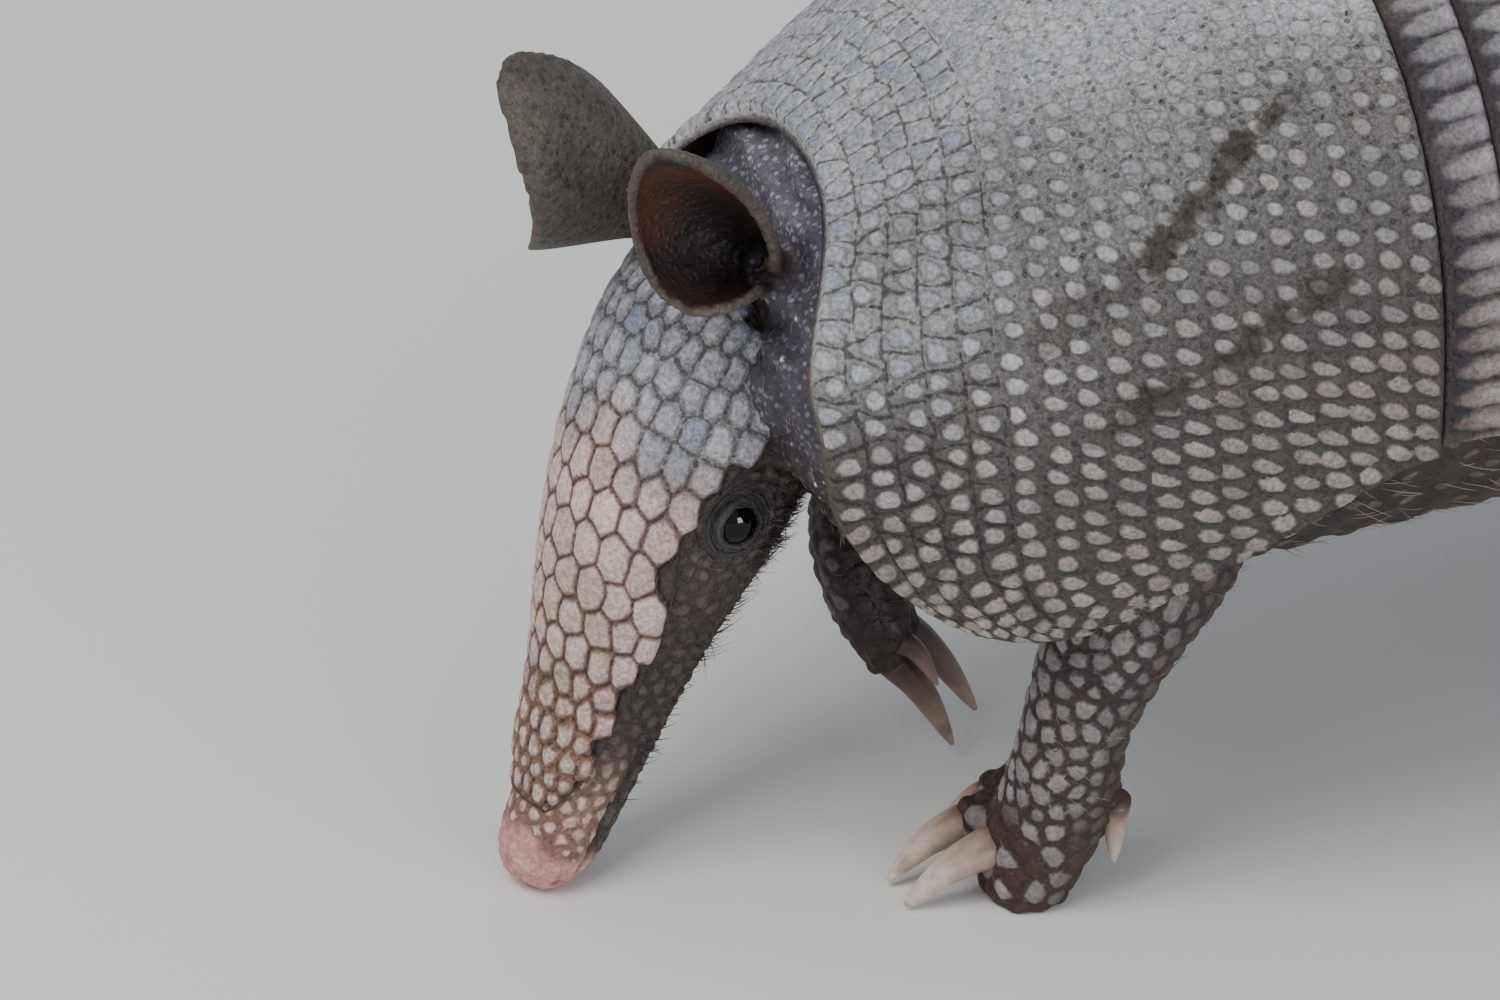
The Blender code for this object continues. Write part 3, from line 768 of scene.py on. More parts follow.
class Shield:
    """A shield of fused armour over the shoulders or the rump."""

    colours = Palette()

    def __init__(self, node: str, pattern: Pattern, grid: tuple[int, int, int], front: Edge,
                 rear: Edge, flare: float) -> None:
        """Sets the shield out."""
        self.node, self.pattern, self.grid = node, pattern, grid
        self.front, self.rear, self.flare = front, rear, flare

    def surface(self, t: Points, u: Points, inset: Points | float = 0.0) -> Points:
        """Places points on the shield.

        Args:
            t: Shares of the way from the front edge to the rear.
            u: Shares of the way from the back to the lower edge, negative on the right.
            inset: How far inside the outside.

        Returns:
            Rows of x, y and z.
        """
        front = self.front(np.abs(u))
        y = front + (self.rear(np.abs(u)) - front) * t
        return body_point(y, u * curve(ARMOUR_EDGE, y)[:, 0], inset - self.flare * t**4)

    def arc(self, t: float) -> tuple[Points, Points]:
        """Measures one row across the shield.

        Args:
            t: The row's share of the way back.

        Returns:
            The shares u, and how far each lies from the back in millimetres.
        """
        u = np.linspace(-1, 1, 401)
        line = self.surface(np.full(401, t), u)
        w = lengths(line)
        return u, w - w[200]

    def row_places(self, limit: float, odd: int) -> list[float]:
        """Spaces a row's scutes from the back outwards.

        Args:
            limit: How far the row runs on one side.
            odd: 1 where the row is shifted by half a scute.

        Returns:
            The distances from the back on one side.
        """
        places, x = [], 0.5 * odd * self.pattern.pitch
        while x < limit - 0.35 * self.pattern.pitch:
            places.append(x)
            x += self.pattern.pitch * (1 - self.pattern.narrowing * x / limit)
        return places

    def scutes(self) -> tuple[Scutes, Points]:
        """Sets the scutes' sites out in rows, each shifted by half a scute from the one before.

        Returns:
            The field, and how far down the side each scute lies as a share.
        """
        t_list, u_list, rows = [], [], []
        p = self.pattern
        for row in range(p.rows):
            t = (row + 0.5) / p.rows
            u, w = self.arc(t)
            for side in (-1, 1):
                for count, x in enumerate(self.row_places(w[-1], row % 2)):
                    if x == 0 and side < 0:
                        continue
                    loose = 0.9 if row < p.framed else 0.5
                    shake = (chance(row, count * side, 5) - 0.5) * loose * 0.55 / p.rows
                    slide = (chance(count * side, row, 7) - 0.5) * loose * 1.3
                    t_list.append(t + shake)
                    u_list.append(np.interp(side * x + slide, w, u))
                    rows.append(row)
        sites = self.surface(np.array(t_list), np.array(u_list))
        number = np.arange(len(sites))
        return Scutes(sites, 0.5 * (chance(number, 1) - 0.5), np.array(rows, float)), np.abs(np.array(u_list))

    def build(self) -> Object:
        """Makes the shield.

        Returns:
            The closed plate with its relief and colours.
        """
        rows, columns, step = self.grid
        even_u, even_w = self.arc(0.5)
        u_line = np.interp(np.linspace(-1, 1, columns) * even_w[-1], even_w, even_u)
        t, u = np.meshgrid(np.linspace(0, 1, rows), u_line, indexing="ij")
        base = self.surface(t.ravel(), u.ravel()).reshape(rows, columns, 3)
        across, down = lengths(base, 1), lengths(base)
        across -= across[:, columns // 2][:, None]
        to_edge = np.minimum.reduce([
            down, down[-1] - down, across - across[:, :1], across[:, -1:] - across,
        ]).ravel()
        to_side = np.minimum(across - across[:, :1], across[:, -1:] - across).ravel()
        back = np.gradient(base, axis=0).reshape(-1, 3)
        lower = np.gradient(base, axis=1).reshape(-1, 3) * np.sign(u.ravel() + 1e-6)[:, None]
        for way in (back, lower):
            way /= np.linalg.norm(way, axis=1)[:, None]
        height, tint, fill, marks = self.relief(
            base.reshape(-1, 3), t.ravel(), u.ravel(), (back, lower), to_edge, to_side, down.ravel())
        rim = np.clip(1 - to_edge / 1.1, 0, 1)
        height -= 1.1 * rounded(rim) + 0.15
        out = normals(base).reshape(-1, 3)
        outer = base.reshape(-1, 3) + out * height[:, None]
        faces, above = plate_faces(rows, columns, step)
        inner = self.surface(t.ravel()[above], u.ravel()[above], 2.7)
        points = np.vstack([outer, inner])
        tint = np.vstack([tint, np.tile(srgb(self.colours.inside), (len(inner), 1))])
        return make_object(f"{self.node}_scutes", points, faces, tint, Finish.SCUTE, fill, marks)

    def relief(self, base: Points, t: Points, u: Points, ways: tuple[Points, Points], to_edge: Points,
               to_side: Points, to_front: Points) -> tuple[Points, ...]:
        """Works out the scutes' height and colours.

        Args:
            base: The smooth surface.
            t: Each point's share of the way back.
            u: Its share of the way down.
            ways: The way back and the way down the side at each point.
            to_edge: How far the shield's own edge is.
            to_side: How far its lower edge is.
            to_front: How far its front edge is.

        Returns:
            Heights in millimetres, the ground's and the scutes' colours, and the marks.
        """
        p, c = self.pattern, self.colours
        field, depth = self.scutes()
        warp = np.column_stack([noise(base, 2.6, k) - 0.5 for k in (11.0, 12.0, 13.0)])
        line = t * p.rows + (noise(base, 3.4, 14.0) - 0.5) * 0.34
        locked = line < p.framed
        edge, _, number = field.look_up(base + warp * 1.1, np.where(locked, np.floor(line), -1), near=8)
        beside = np.minimum(line - np.floor(line), np.ceil(line) - line) * 4.3
        edge = np.where((line < p.framed + 0.5) & (line > 0.5), np.minimum(edge, beside), edge)
        offset = base - field.sites[number]
        s, q = np.sum(offset * ways[0], axis=1), np.sum(offset * ways[1], axis=1)
        luck, other = chance(number, 3), chance(number, 4)
        row = field.rows[number]
        framed = 1 - smooth(p.framed - 0.5, p.framed + 0.5, row)
        low = smooth(0.5, 0.92, depth[number])
        last = 1 - smooth(-0.2, 0.2, to_side + (luck - 0.5) * 1.2)
        lean = 0.75 * low * (0.7 + 0.6 * other)
        along = (s * np.cos(lean) + q * np.sin(lean)) / (p.long * (0.86 + 0.3 * luck) * (1 + 0.35 * low))
        over = (-s * np.sin(lean) + q * np.cos(lean)) / (p.short * (0.86 + 0.3 * other) * (1 + 0.14 * low))
        over = over * (1 + 0.22 * np.clip(along, -1, 1))
        oval = (1 - np.hypot(along, over)) * p.short
        cell = edge - 0.55 - 0.25 * other
        brick_row = np.floor(to_side / p.brick)
        shifted = to_front / (p.brick * 1.22) + 0.5 * (brick_row % 2) + (noise(base, 7, 15.0) - 0.5) * 0.5
        brick = np.floor(shifted)
        into = np.minimum(to_side - brick_row * p.brick, (brick_row + 1) * p.brick - to_side)
        into = np.minimum(into, np.minimum(shifted - brick, brick + 1 - shifted) * p.brick * 1.22)
        number = np.where(last > 0.5, (brick * 7 + brick_row * 131 + 5000).astype(int), number)
        disc = oval + (np.minimum(cell, p.short) - oval) * 0.4 * framed
        disc = np.where(last > 0.5, into - 0.42, disc)
        crack = np.where(framed > 0.5, 0.2 - edge, -0.4 - edge + 0.4 * low) - 1.0 * last
        groove = 1 - smooth(0.05, 0.5, edge)
        swell = smooth(-0.5, 0.5, disc)
        height = 0.2 * smooth(0.0, 1.6, edge) - 0.16 * groove * np.clip(framed + low, 0.25, 1) + 0.16 * swell
        height += (noise(base, 1.1, 3.0) - 0.5) * 0.14

        # Paler on top: a dusty coat, with painted light from above as well.
        dust_and_top_light = 1 - smooth(0.2, 0.6, np.abs(u) + (noise(base, 16, 4.0) - 0.5) * 0.4)
        ground = mix(c.ground, c.dust_and_top_light, dust_and_top_light)
        ground = mix(ground, c.low_ground, smooth(0.4, 0.85, np.abs(u)) * 0.9)
        ground = mix(ground, c.crack, last * 0.8)
        fill = mix(mix(c.pale, c.warm, other), c.slate, dust_and_top_light * (0.35 + 0.5 * luck))
        fill = mix(fill, mix(c.pale, c.slate, luck * 0.7), framed * (1 - low) * 0.7)
        fill = mix(fill, c.low_scute, np.clip(low * 0.75 + last, 0, 1))
        fill = fill * (0.8 + 0.28 * chance(number, 9))[:, None]
        faded = smooth(0.35, 0.6, t) * (1 - low) * 0.4
        powder = np.clip(smooth(0.45, 0.7, noise(base, 6.5, 5.0)) * (0.25 + 0.6 * dust_and_top_light) + faded, 0, 0.85)
        fill = mix(fill, ground, powder * (1 - last))
        dirt = smooth(0.66, 0.84, noise(base, 12, 6.0)) * 0.2
        # Painted shade: darker towards the rear and the lower edge, with random tone laid over it.
        shade = 1 - 0.22 * smooth(0.35, 0.9, t) * smooth(0.3, 0.8, np.abs(u))
        shade = (0.84 + 0.3 * noise(base, 22, 8.0)) * shade
        rubbed = mix(np.ones((len(base), 3)), np.full((len(base), 3), 1.18), 1 - smooth(0.3, 1.2, to_edge))
        found = []
        for colour in (ground, fill):
            colour = mix(colour, c.dirt, dirt)
            found.append(self.scuffed(base, colour * shade[:, None] * rubbed))
        stone = (1.25 - 0.6 * framed - 0.4 * low) * (1 - smooth(-0.3, 0.2, disc)) * (1 - 0.9 * last)
        return height, found[0], found[1], np.column_stack([disc, crack, stone])

    def scuffed(self, base: Points, tint: Points) -> Points:
        """Adds long dark scuffs.

        Args:
            base: The smooth surface.
            tint: The colours so far.

        Returns:
            The colours.
        """
        for start, end, width, strength in SCUFFS.get(self.node, ()):
            a, b = np.array(start, float), np.array(end, float)
            share = np.clip(((base - a) @ (b - a)) / ((b - a) @ (b - a)), 0, 1)
            away = np.linalg.norm(base - (a + share[:, None] * (b - a)), axis=1)
            ragged = (noise(base, 4.5, 9.0) - 0.5) * 1.5 + (noise(base, 1.4, 10.0) - 0.5) * 1.3
            ragged = away + ragged * width
            tint = mix(tint, self.colours.scuff, (1 - smooth(width * 0.35, width, ragged)) * strength)
        return tint


# Scuffs: start, end, half width and strength.
SCUFFS = {
    "shoulder_shield": (
        ((44, 101, 134), (47, 91, 128), 1.7, 0.8), ((47, 91, 128), (50.7, 77, 115.5), 2.6, 0.85),
        ((50.7, 77, 115.5), (50, 62, 105), 3.0, 0.5), ((60, 102, 112), (57, 76, 96), 2.5, 0.95),
        ((57, 76, 96), (54.5, 66, 89), 2.4, 0.6),
    ),
}


def shoulder_front(share: Points) -> Points:
    """Gives the shoulder shield's front edge: a little forward at the sides, rounded at the bottom.

    Args:
        share: How far down the side, from 0 to 1.

    Returns:
        The edge's y.
    """
    corner = np.maximum((share - 0.78) / 0.22, 0)
    forward = 12 * np.sin(np.minimum(share / 0.6, 1) * math.pi / 2) ** 2
    return SHIELD_FRONT - forward + 20 * rounded(corner)


def rump_rear(share: Points) -> Points:
    """Gives the rump shield's rear edge, which runs forward and down round the thigh."""
    corner = np.maximum((share - 0.45) / 0.55, 0)
    return RUMP_REAR - 58 * rounded(corner)


@dataclass(frozen=True)
class Band:
    """One movable band: long wedge-shaped scutes side by side, on darker skin.

    Attributes:
        number: Which band, from 1 at the shoulders.
        rows: Points from its front edge to its rear.
        columns: Points across it.
        pitch: How far apart its wedges stand.
    """

    number: int
    rows: int = 19
    columns: int = 433
    pitch: float = 4.3

    def surface(self, t: Points, u: Points, inset: Points | float = 0.0) -> Points:
        """Places points on the band.

        Args:
            t: Shares of the way back.
            u: Shares of the way down.
            inset: How far inside the outside.

        Returns:
            Rows of x, y and z.
        """
        start = SHIELD_REAR + (self.number - 1) * BAND_LENGTH
        y = start + (BAND_LENGTH - BAND_GAP) * t
        return body_point(y, u * curve(ARMOUR_EDGE, y)[:, 0], inset - BAND_FLARE * t)

    def build(self) -> Object:
        """Makes the band.

        Returns:
            The closed plate with its relief and colours.
        """
        fine = np.linspace(-1, 1, 801)
        line = self.surface(np.full(801, 0.5), fine)
        w = lengths(line)
        w -= w[400]
        across = np.linspace(w[0], w[-1], self.columns)
        t, u = np.meshgrid(np.linspace(0, 1, self.rows), np.interp(across, w, fine), indexing="ij")
        t, u, across = t.ravel(), u.ravel(), np.tile(across, self.rows)
        base = self.surface(t, u)
        height, tint = self.relief(base, t, u, across, w[-1] - np.abs(across))
        out = normals(base.reshape(self.rows, self.columns, 3)).reshape(-1, 3)
        faces, above = plate_faces(self.rows, self.columns, 6)
        inner = self.surface(t[above], u[above], 2.7)
        points = np.vstack([base + out * height[:, None], inner])
        tint = np.vstack([tint, np.tile(srgb("3A2E30"), (len(inner), 1))])
        return make_object(f"band_{self.number}_scutes", points, faces, tint, Finish.SCUTE)

    def relief(self, base: Points, t: Points, u: Points, across: Points,
               to_end: Points) -> tuple[Points, Points]:
        """Works out the wedges' height and colour.

        Args:
            base: The smooth surface.
            t: Each point's share of the way back.
            u: Its share of the way down.
            across: How far it lies from the back.
            to_end: How far the band's lower end is.

        Returns:
            Heights in millimetres and linear colours.
        """
        cell = across / self.pitch + 0.37 * self.number
        index = np.floor(cell)
        luck = chance(index, self.number)
        beside = np.abs(cell - index - 0.5 - (luck - 0.5) * 0.12)
        wide = 0.14 + 0.34 * smooth(0.1, 0.6, t)
        beside = np.abs(beside + (noise(base, 1.1, 5.0) - 0.5) * 0.1)
        wedge = (1 - smooth(wide - 0.14, wide + 0.05, beside)) * smooth(0.05, 0.3, t)
        lip = smooth(0.78, 0.9, t)
        seam = (1 - smooth(0.0, 0.09, 0.5 - beside)) * smooth(0.4, 0.7, t)
        front = 1 - smooth(0.1, 0.2, t)
        rim = np.clip((t - 0.88) / 0.12, 0, 1)
        end = np.clip(1 - to_end / 1.3, 0, 1)
        height = 0.3 * wedge + 0.12 * lip - 0.3 * seam - 0.25 * front
        height -= 1.0 * rounded(rim) + 1.2 * rounded(end) + 0.2
        height += (noise(base, 0.9, 3.0) - 0.5) * 0.1
        low = smooth(0.55, 0.95, np.abs(u))
        # Paler on top: a dusty coat, with painted light from above as well.
        dust_and_top_light = 1 - smooth(0.3, 0.7, np.abs(u) + (noise(base, 14, 4.0) - 0.5) * 0.4)
        ground = mix("2A252B", "5C5859", dust_and_top_light * 0.5)
        pale = mix(mix("766F75", "989395", dust_and_top_light), "85766F", low)
        hump = smooth(0.4, 0.72, t) * (1 - smooth(0.15, 0.85, beside / wide))
        pale = mix(pale, mix("A39CA0", "B5AAA4", low), hump * 0.8)
        tint = mix(ground, pale, np.clip(wedge * 0.85 + lip * 0.25, 0, 1) * (0.7 + 0.3 * luck))
        # Seams between the wedges are dark joints; the tucked front strip is dark skin with painted shade
        # from the band in front.
        tint = mix(tint, "3B3133", np.clip(seam * 0.75 + front * 0.9, 0, 1))
        tint = mix(tint, "6F635B", smooth(0.6, 0.78, noise(base, 9, 6.0)) * 0.3)
        return height, tint * (0.86 + 0.28 * noise(base, 24, 8.0))[:, None]


@dataclass(frozen=True)
class FaceArmour:
    """The face shield: bony polygons from the snout up to the ears.

    Attributes:
        rows: Points along the face.
        columns: Points across it.
        stand_off: How far it stands off the head.
        squash: How much shorter its layout is than the face.
        thickness: How thick it is.
    """

    rows: int = 217
    columns: int = 145
    stand_off: float = 2.0
    squash: float = 0.74
    thickness: float = 1.6

    def surface(self, place: Points, u: Points, stand_off: Points | float) -> Points:
        """Places points on the face shield."""
        return head_point(place, curve(FACE_SHIELD, place)[:, 0] * u, stand_off)

    def flat(self, place: Points, turn: Points) -> Points:
        """Unrolls places on the face, shortened so that scutes grow long."""
        width = curve(HEAD, place)[:, 0] + self.stand_off
        return np.column_stack([place * self.squash, np.radians(turn) * width, np.zeros(len(place))])

    def scutes(self) -> Scutes:
        """Sets the polygons out, small on the snout and biggest over the brow.

        Returns:
            The field.
        """
        places, angles, sizes = [], [], []
        at, row = 10.0, 0
        while at < 99:
            size = float(np.interp(at, (11, 24, 36, 50, 72, 84, 98), (2.7, 3.4, 4.3, 5.1, 4.8, 4.1, 3.4)))
            width = float(curve(HEAD, at)[0, 0]) + self.stand_off
            count = int(math.radians(100) * width / size) + 1
            for k in range(-count, count + 1):
                shake = 0.26 * (float(chance(row, k, 5)) - 0.5)
                turn = math.degrees((k + 0.5 * (row % 2) + shake) * size / width)
                if abs(turn) < 100:
                    places.append(at + 0.28 * size * (float(chance(k, row, 9)) - 0.5))
                    angles.append(turn)
                    sizes.append(size)
            at += size * 0.88 / self.squash
            row += 1
        size = np.array(sizes)
        return Scutes(self.flat(np.array(places), np.array(angles)),
                      size * 0.12 * (chance(np.arange(len(size)), 2) - 0.5))

    def build(self) -> Object:
        """Makes the face shield.

        Returns:
            The closed plate with its relief and colours.
        """
        start, end = FACE_SHIELD[0][0], FACE_SHIELD[-1][0]
        place, u = np.linspace(start, end, self.rows), np.linspace(-1, 1, self.columns)
        place, u = np.meshgrid(place, u, indexing="ij")
        grid = self.surface(place.ravel(), u.ravel(), self.stand_off).reshape(self.rows, self.columns, 3)
        across = lengths(grid, 1)
        to_edge = np.minimum.reduce([
            (place - start), (end - place), across, across[:, -1:] - across,
        ]).ravel()
        base, place, u = grid.reshape(-1, 3), place.ravel(), u.ravel()
        flat = self.flat(place, curve(FACE_SHIELD, place)[:, 0] * u)
        warp = np.column_stack([noise(base, 2.4, k) - 0.5 for k in (1.0, 2.0)] + [np.zeros(len(base))])
        field = self.scutes()
        edge, _, number = field.look_up(flat + warp * 0.9)
        site = field.sites[number]
        at = np.clip(site[:, 0] / self.squash, start, end)
        reach = np.radians(curve(FACE_SHIELD, at)[:, 0]) * (curve(HEAD, at)[:, 0] + self.stand_off)
        bare = smooth(-0.1, 0.1, np.abs(site[:, 1]) - reach + 1.1) * smooth(0.0, 3.0, place - start)
        groove = 1 - smooth(0.06, 0.42, edge)
        height = 0.3 * smooth(0.0, 1.3, edge) - 0.22 * groove + (noise(base, 0.9, 3.0) - 0.5) * 0.07
        rim = np.clip(1 - to_edge / 1.6, 0, 1)
        height -= 1.5 * rounded(rim) + 0.1 + 0.9 * (1 - smooth(0.0, 9.0, place - start))
        height -= 0.9 * bare
        out = normals(grid).reshape(-1, 3)
        outer = base + out * height[:, None]
        faces, above = plate_faces(self.rows, self.columns, 8)
        inner = self.surface(place[above], u[above], self.stand_off - self.thickness)
        tint, fill, marks = self.colour(base, place, edge, number, to_edge)
        skin = mix("352B28", "4D403B", noise(base, 6, 1.0))
        tint, fill = mix(tint, skin, bare), mix(fill, skin, bare)
        tint = np.vstack([tint, np.tile(srgb("5A443C"), (len(inner), 1))])
        points = np.vstack([outer, inner])
        return make_object("head_shield_scutes", points, faces, tint, Finish.SCUTE, fill, marks)

    def colour(self, base: Points, place: Points, edge: Points, number: Points,
               to_edge: Points) -> tuple[Points, ...]:
        """Colours the polygons.

        Args:
            base: The smooth surface.
            place: Distances along the head.
            edge: How far each point is from its scute's edge.
            number: The scute it lies on.
            to_edge: How far the shield's own edge is.

        Returns:
            The grooves' colour, the scutes' colour, and the marks.
        """
        luck, other = chance(number, 4), chance(number, 6)
        crown = smooth(62, 80, place + (noise(base, 9, 2.0) - 0.5) * 16)
        snout = 1 - smooth(20, 44, place + (noise(base, 6, 3.0) - 0.5) * 8)
        scute = mix(mix("DCC3BC", "CBB0A8", luck), "D8B6AD", snout * 0.7)
        scute = mix(scute, mix("8F95A8", "C0BDC2", other), crown)
        line = mix(mix("8C6B5F", "97705F", snout), "A3A0A2", crown)
        powder = smooth(0.42, 0.68, noise(base, 6, 5.0)) * (0.25 + 0.75 * crown)
        scute = mix(scute, mix("B8ABA0", "B6B3B5", crown), powder * 0.6)
        grime = smooth(0.55, 0.8, noise(base, 5, 6.0)) * (0.3 + 0.35 * snout)
        grime = grime + 0.5 * (1 - smooth(0.2, 1.8, to_edge)) * crown
        shade = (0.88 + 0.24 * noise(base, 14, 8.0))[:, None]
        dirt = mix("74554A", "59535A", crown)
        found = [mix(colour, dirt, grime * 0.6) * shade for colour in (line, scute)]
        disc = edge - (0.2 + 0.24 * snout + 0.34 * crown + 0.12 * other)
        crack = 0.12 - edge + 0.12 * crown
        stone = 0.2 + 0.45 * snout + 0.35 * crown
        return found[0], found[1], np.column_stack([disc, crack, stone])


@dataclass(frozen=True)
class TailArmour:
    """The tail: bony rings on its thicker part, then scattered scales to the tip.

    Attributes:
        rows: Points along the tail.
        columns: Points round it.
        rings: How many rings there are.
        ringed_to: How much of the length is ringed.
    """

    rows: int = 521
    columns: int = 72
    rings: int = 14
    ringed_to: float = 0.62

    def build(self) -> Object:
        """Makes the tail.

        Returns:
            The closed tail with its relief and colours.
        """
        path = tuple((*row, row[-1]) for row in TAIL)
        grid = rings_round(path, self.columns, self.rows - 1)
        share = np.linspace(0, 1, self.rows)
        centre = grid.mean(axis=1, keepdims=True)
        out = grid - centre
        radius = np.linalg.norm(out, axis=2)
        out = out / radius[..., None]
        length = float(np.linalg.norm(np.diff(centre[:, 0], axis=0), axis=1).sum())
        ring = (share / self.ringed_to) ** 1.12 * self.rings
        ring = np.where(share < self.ringed_to, ring, self.rings + 0.5)
        sites, rows = self.sites(grid, share, ring, length, radius)
        field = Scutes(sites, np.zeros(len(sites)), rows)
        base = grid.reshape(-1, 3)
        lock = np.where(share < self.ringed_to, np.floor(ring * 2), -1)
        edge, _, number = field.look_up(base, np.repeat(lock, self.columns), near=5)
        local = (ring - np.floor(ring))[:, None] * np.ones((1, self.columns))
        ringed = (share < self.ringed_to)[:, None] * np.ones((1, self.columns))
        local, ringed = local.ravel(), ringed.ravel()
        groove = 1 - smooth(0.05, 0.45, edge)
        gap = (1 - smooth(0.0, 0.1, local)) * ringed
        height = -0.35 - 0.3 * groove - 0.7 * gap + 0.35 * local * ringed
        height *= np.repeat(np.clip(radius[:, 0] / 8, 0.35, 1), self.columns)
        points = base + out.reshape(-1, 3) * height[:, None]
        points[:, 2] = np.maximum(points[:, 2], 0.0)
        luck = chance(number, 8)
        tint = mix("8F8781", "B3A89C", luck)
        tint = mix(tint, "463A38", np.clip(groove * 0.8 + gap, 0, 1))
        tint = mix(tint, "6B5B4E", smooth(0.5, 0.75, noise(base, 8, 6.0)) * 0.5)
        tint = mix(tint, tint * 0.72, np.repeat(smooth(0.5, 0.9, share), self.columns))
        loft = Flesh()
        loft.add(points.reshape(grid.shape))
        tint = np.vstack([tint, tint[:1], tint[-1:]])
        return make_object("tail_scutes", loft.points[0], loft.faces, tint, Finish.SCUTE)

    def sites(self, grid: Points, share: Points, ring: Points, length: float,
              radius: Points) -> tuple[Points, Points]:
        """Sets the tail's scutes out, two rows to a ring.

        Args:
            grid: The tail's surface.
            share: Shares of its length.
            ring: The ring number at each share.
            length: Its length.
            radius: Its radii.

        Returns:
            The sites, and the row each belongs to.
        """
        found, rows = [], []
        places = [np.interp((row + 0.5) / 2, ring, share) for row in range(self.rings * 2)]
        step = self.ringed_to
        while step < 0.99:
            places.append(step)
            step += 3.2 / length
        for row, place in enumerate(places):
            at = int(round(float(place) * (self.rows - 1)))
            count = max(int(2 * math.pi * radius[at, 0] / 3.6), 5)
            for k in range(count):
                turn = (k + 0.5 * (row % 2) + 0.2 * (float(chance(row, k)) - 0.5)) / count
                found.append(grid[at, int(turn * self.columns) % self.columns])
                rows.append(row if row < self.rings * 2 else -1)
        return np.array(found), np.array(rows, float)


class Flesh:
    """Closed lofts gathered into one mesh."""

    def __init__(self) -> None:
        """Starts empty."""
        self.points: list[Points] = []
        self.faces: list[list[int]] = []
        self.count = 0

    def add(self, rings: Points) -> None:
        """Adds a closed loft.

        Args:
            rings: Rings by sides by x, y and z.
        """
        rows, sides = rings.shape[:2]
        number = np.arange(rows * sides).reshape(rows, sides) + self.count
        beside = np.roll(number, -1, axis=1)
        self.faces += np.stack([number[:-1], beside[:-1], beside[1:], number[1:]], 2).reshape(-1, 4).tolist()
        first, last = self.count + rows * sides, self.count + rows * sides + 1
        for i in range(sides):
            self.faces.append([int(number[0, i]), first, int(beside[0, i])])
            self.faces.append([int(number[-1, i]), int(beside[-1, i]), last])
        self.points.append(np.vstack([rings.reshape(-1, 3), rings[0].mean(0), rings[-1].mean(0)]))
        self.count += rows * sides + 2


@dataclass(frozen=True)
class Eye:
    """One eye and its lids, in millimetres.

    Attributes:
        side: 1 for the left, -1 for the right.
        radius: The eyeball's radius.
        long: Half the opening's length, along the head.
        short: Half the opening's height.
        lid: How far the lids stand off the eyeball.
    """

    side: int
    radius: float = 4.3
    long: float = 3.0
    short: float = 2.5
    lid: float = 0.5

    def frame(self) -> tuple[Points, ...]:
        """Finds where the eye looks.

        Returns:
            Its middle, the way towards the nose, the way round the head and the way out.
        """
        out = from_head((self.side, -0.22, 0.06))[0] - NOSE
        out /= np.linalg.norm(out)
        nose = -(from_head((0, BACK, RISE))[0] - NOSE)
        nose -= out * (nose @ out)
        nose /= np.linalg.norm(nose)
        return from_head((EYE[0] * self.side, EYE[1], EYE[2]))[0] + out * 0.35, nose, np.cross(out, nose), out

    def shape(self, points: Points) -> tuple[Points, Points]:
        """Forms the lids in the skin round the eye.

        Args:
            points: The skin's points.

        Returns:
            The points, and how far each lies out from the eye's middle in shares of its opening.
        """
        middle, nose, across, out = self.frame()
        local = points - middle
        p, q, z = local @ nose, local @ across, local @ out
        share = np.hypot(p / self.long, q / self.short)
        flat = np.hypot(p, q)
        share = np.where((z > -2.5) & (flat < 12), share, 99.0)
        ball = np.sqrt(np.maximum(self.radius**2 - np.minimum(flat, self.radius * 0.9) ** 2, 0))
        folds = 0.2 * np.cos((share - 1.25) * 2 * math.pi / 0.5) * smooth(1.1, 1.3, share)
        rim = ball + self.lid + folds
        near = 1 - smooth(1.3, 2.7, share)
        height = np.where(share < 1, ball - 0.9, z + (rim - z) * near)
        outer = (share >= 1) & (share < 3.2)
        height = np.where(outer, height + folds * (1 - smooth(2.0, 3.2, share)) * 0.8, height)
        height = np.where(share < 50, height, z)
        return points + out * (height - z)[:, None], share

    def build(self) -> Object:
        """Makes the eyeball.

        Returns:
            A smooth dark ball.
        """
        middle, _, _, out = self.frame()
        bpy.ops.mesh.primitive_uv_sphere_add(segments=48, ring_count=32, radius=self.radius * MM)
        obj = bpy.context.object
        obj.name = "eyeball_left" if self.side > 0 else "eyeball_right"
        turn = Vector((0, 0, 1)).rotation_difference(Vector(out)).to_matrix().to_4x4()
        obj.data.transform(Matrix.Translation(Vector(PLACE(middle)[0])) @ turn)
        obj.data.materials.append(MATERIALS[Finish.EYE])
        obj.data.shade_smooth()
        paint(obj.data, np.tile(srgb("08080A"), (len(obj.data.vertices), 1)))
        return obj


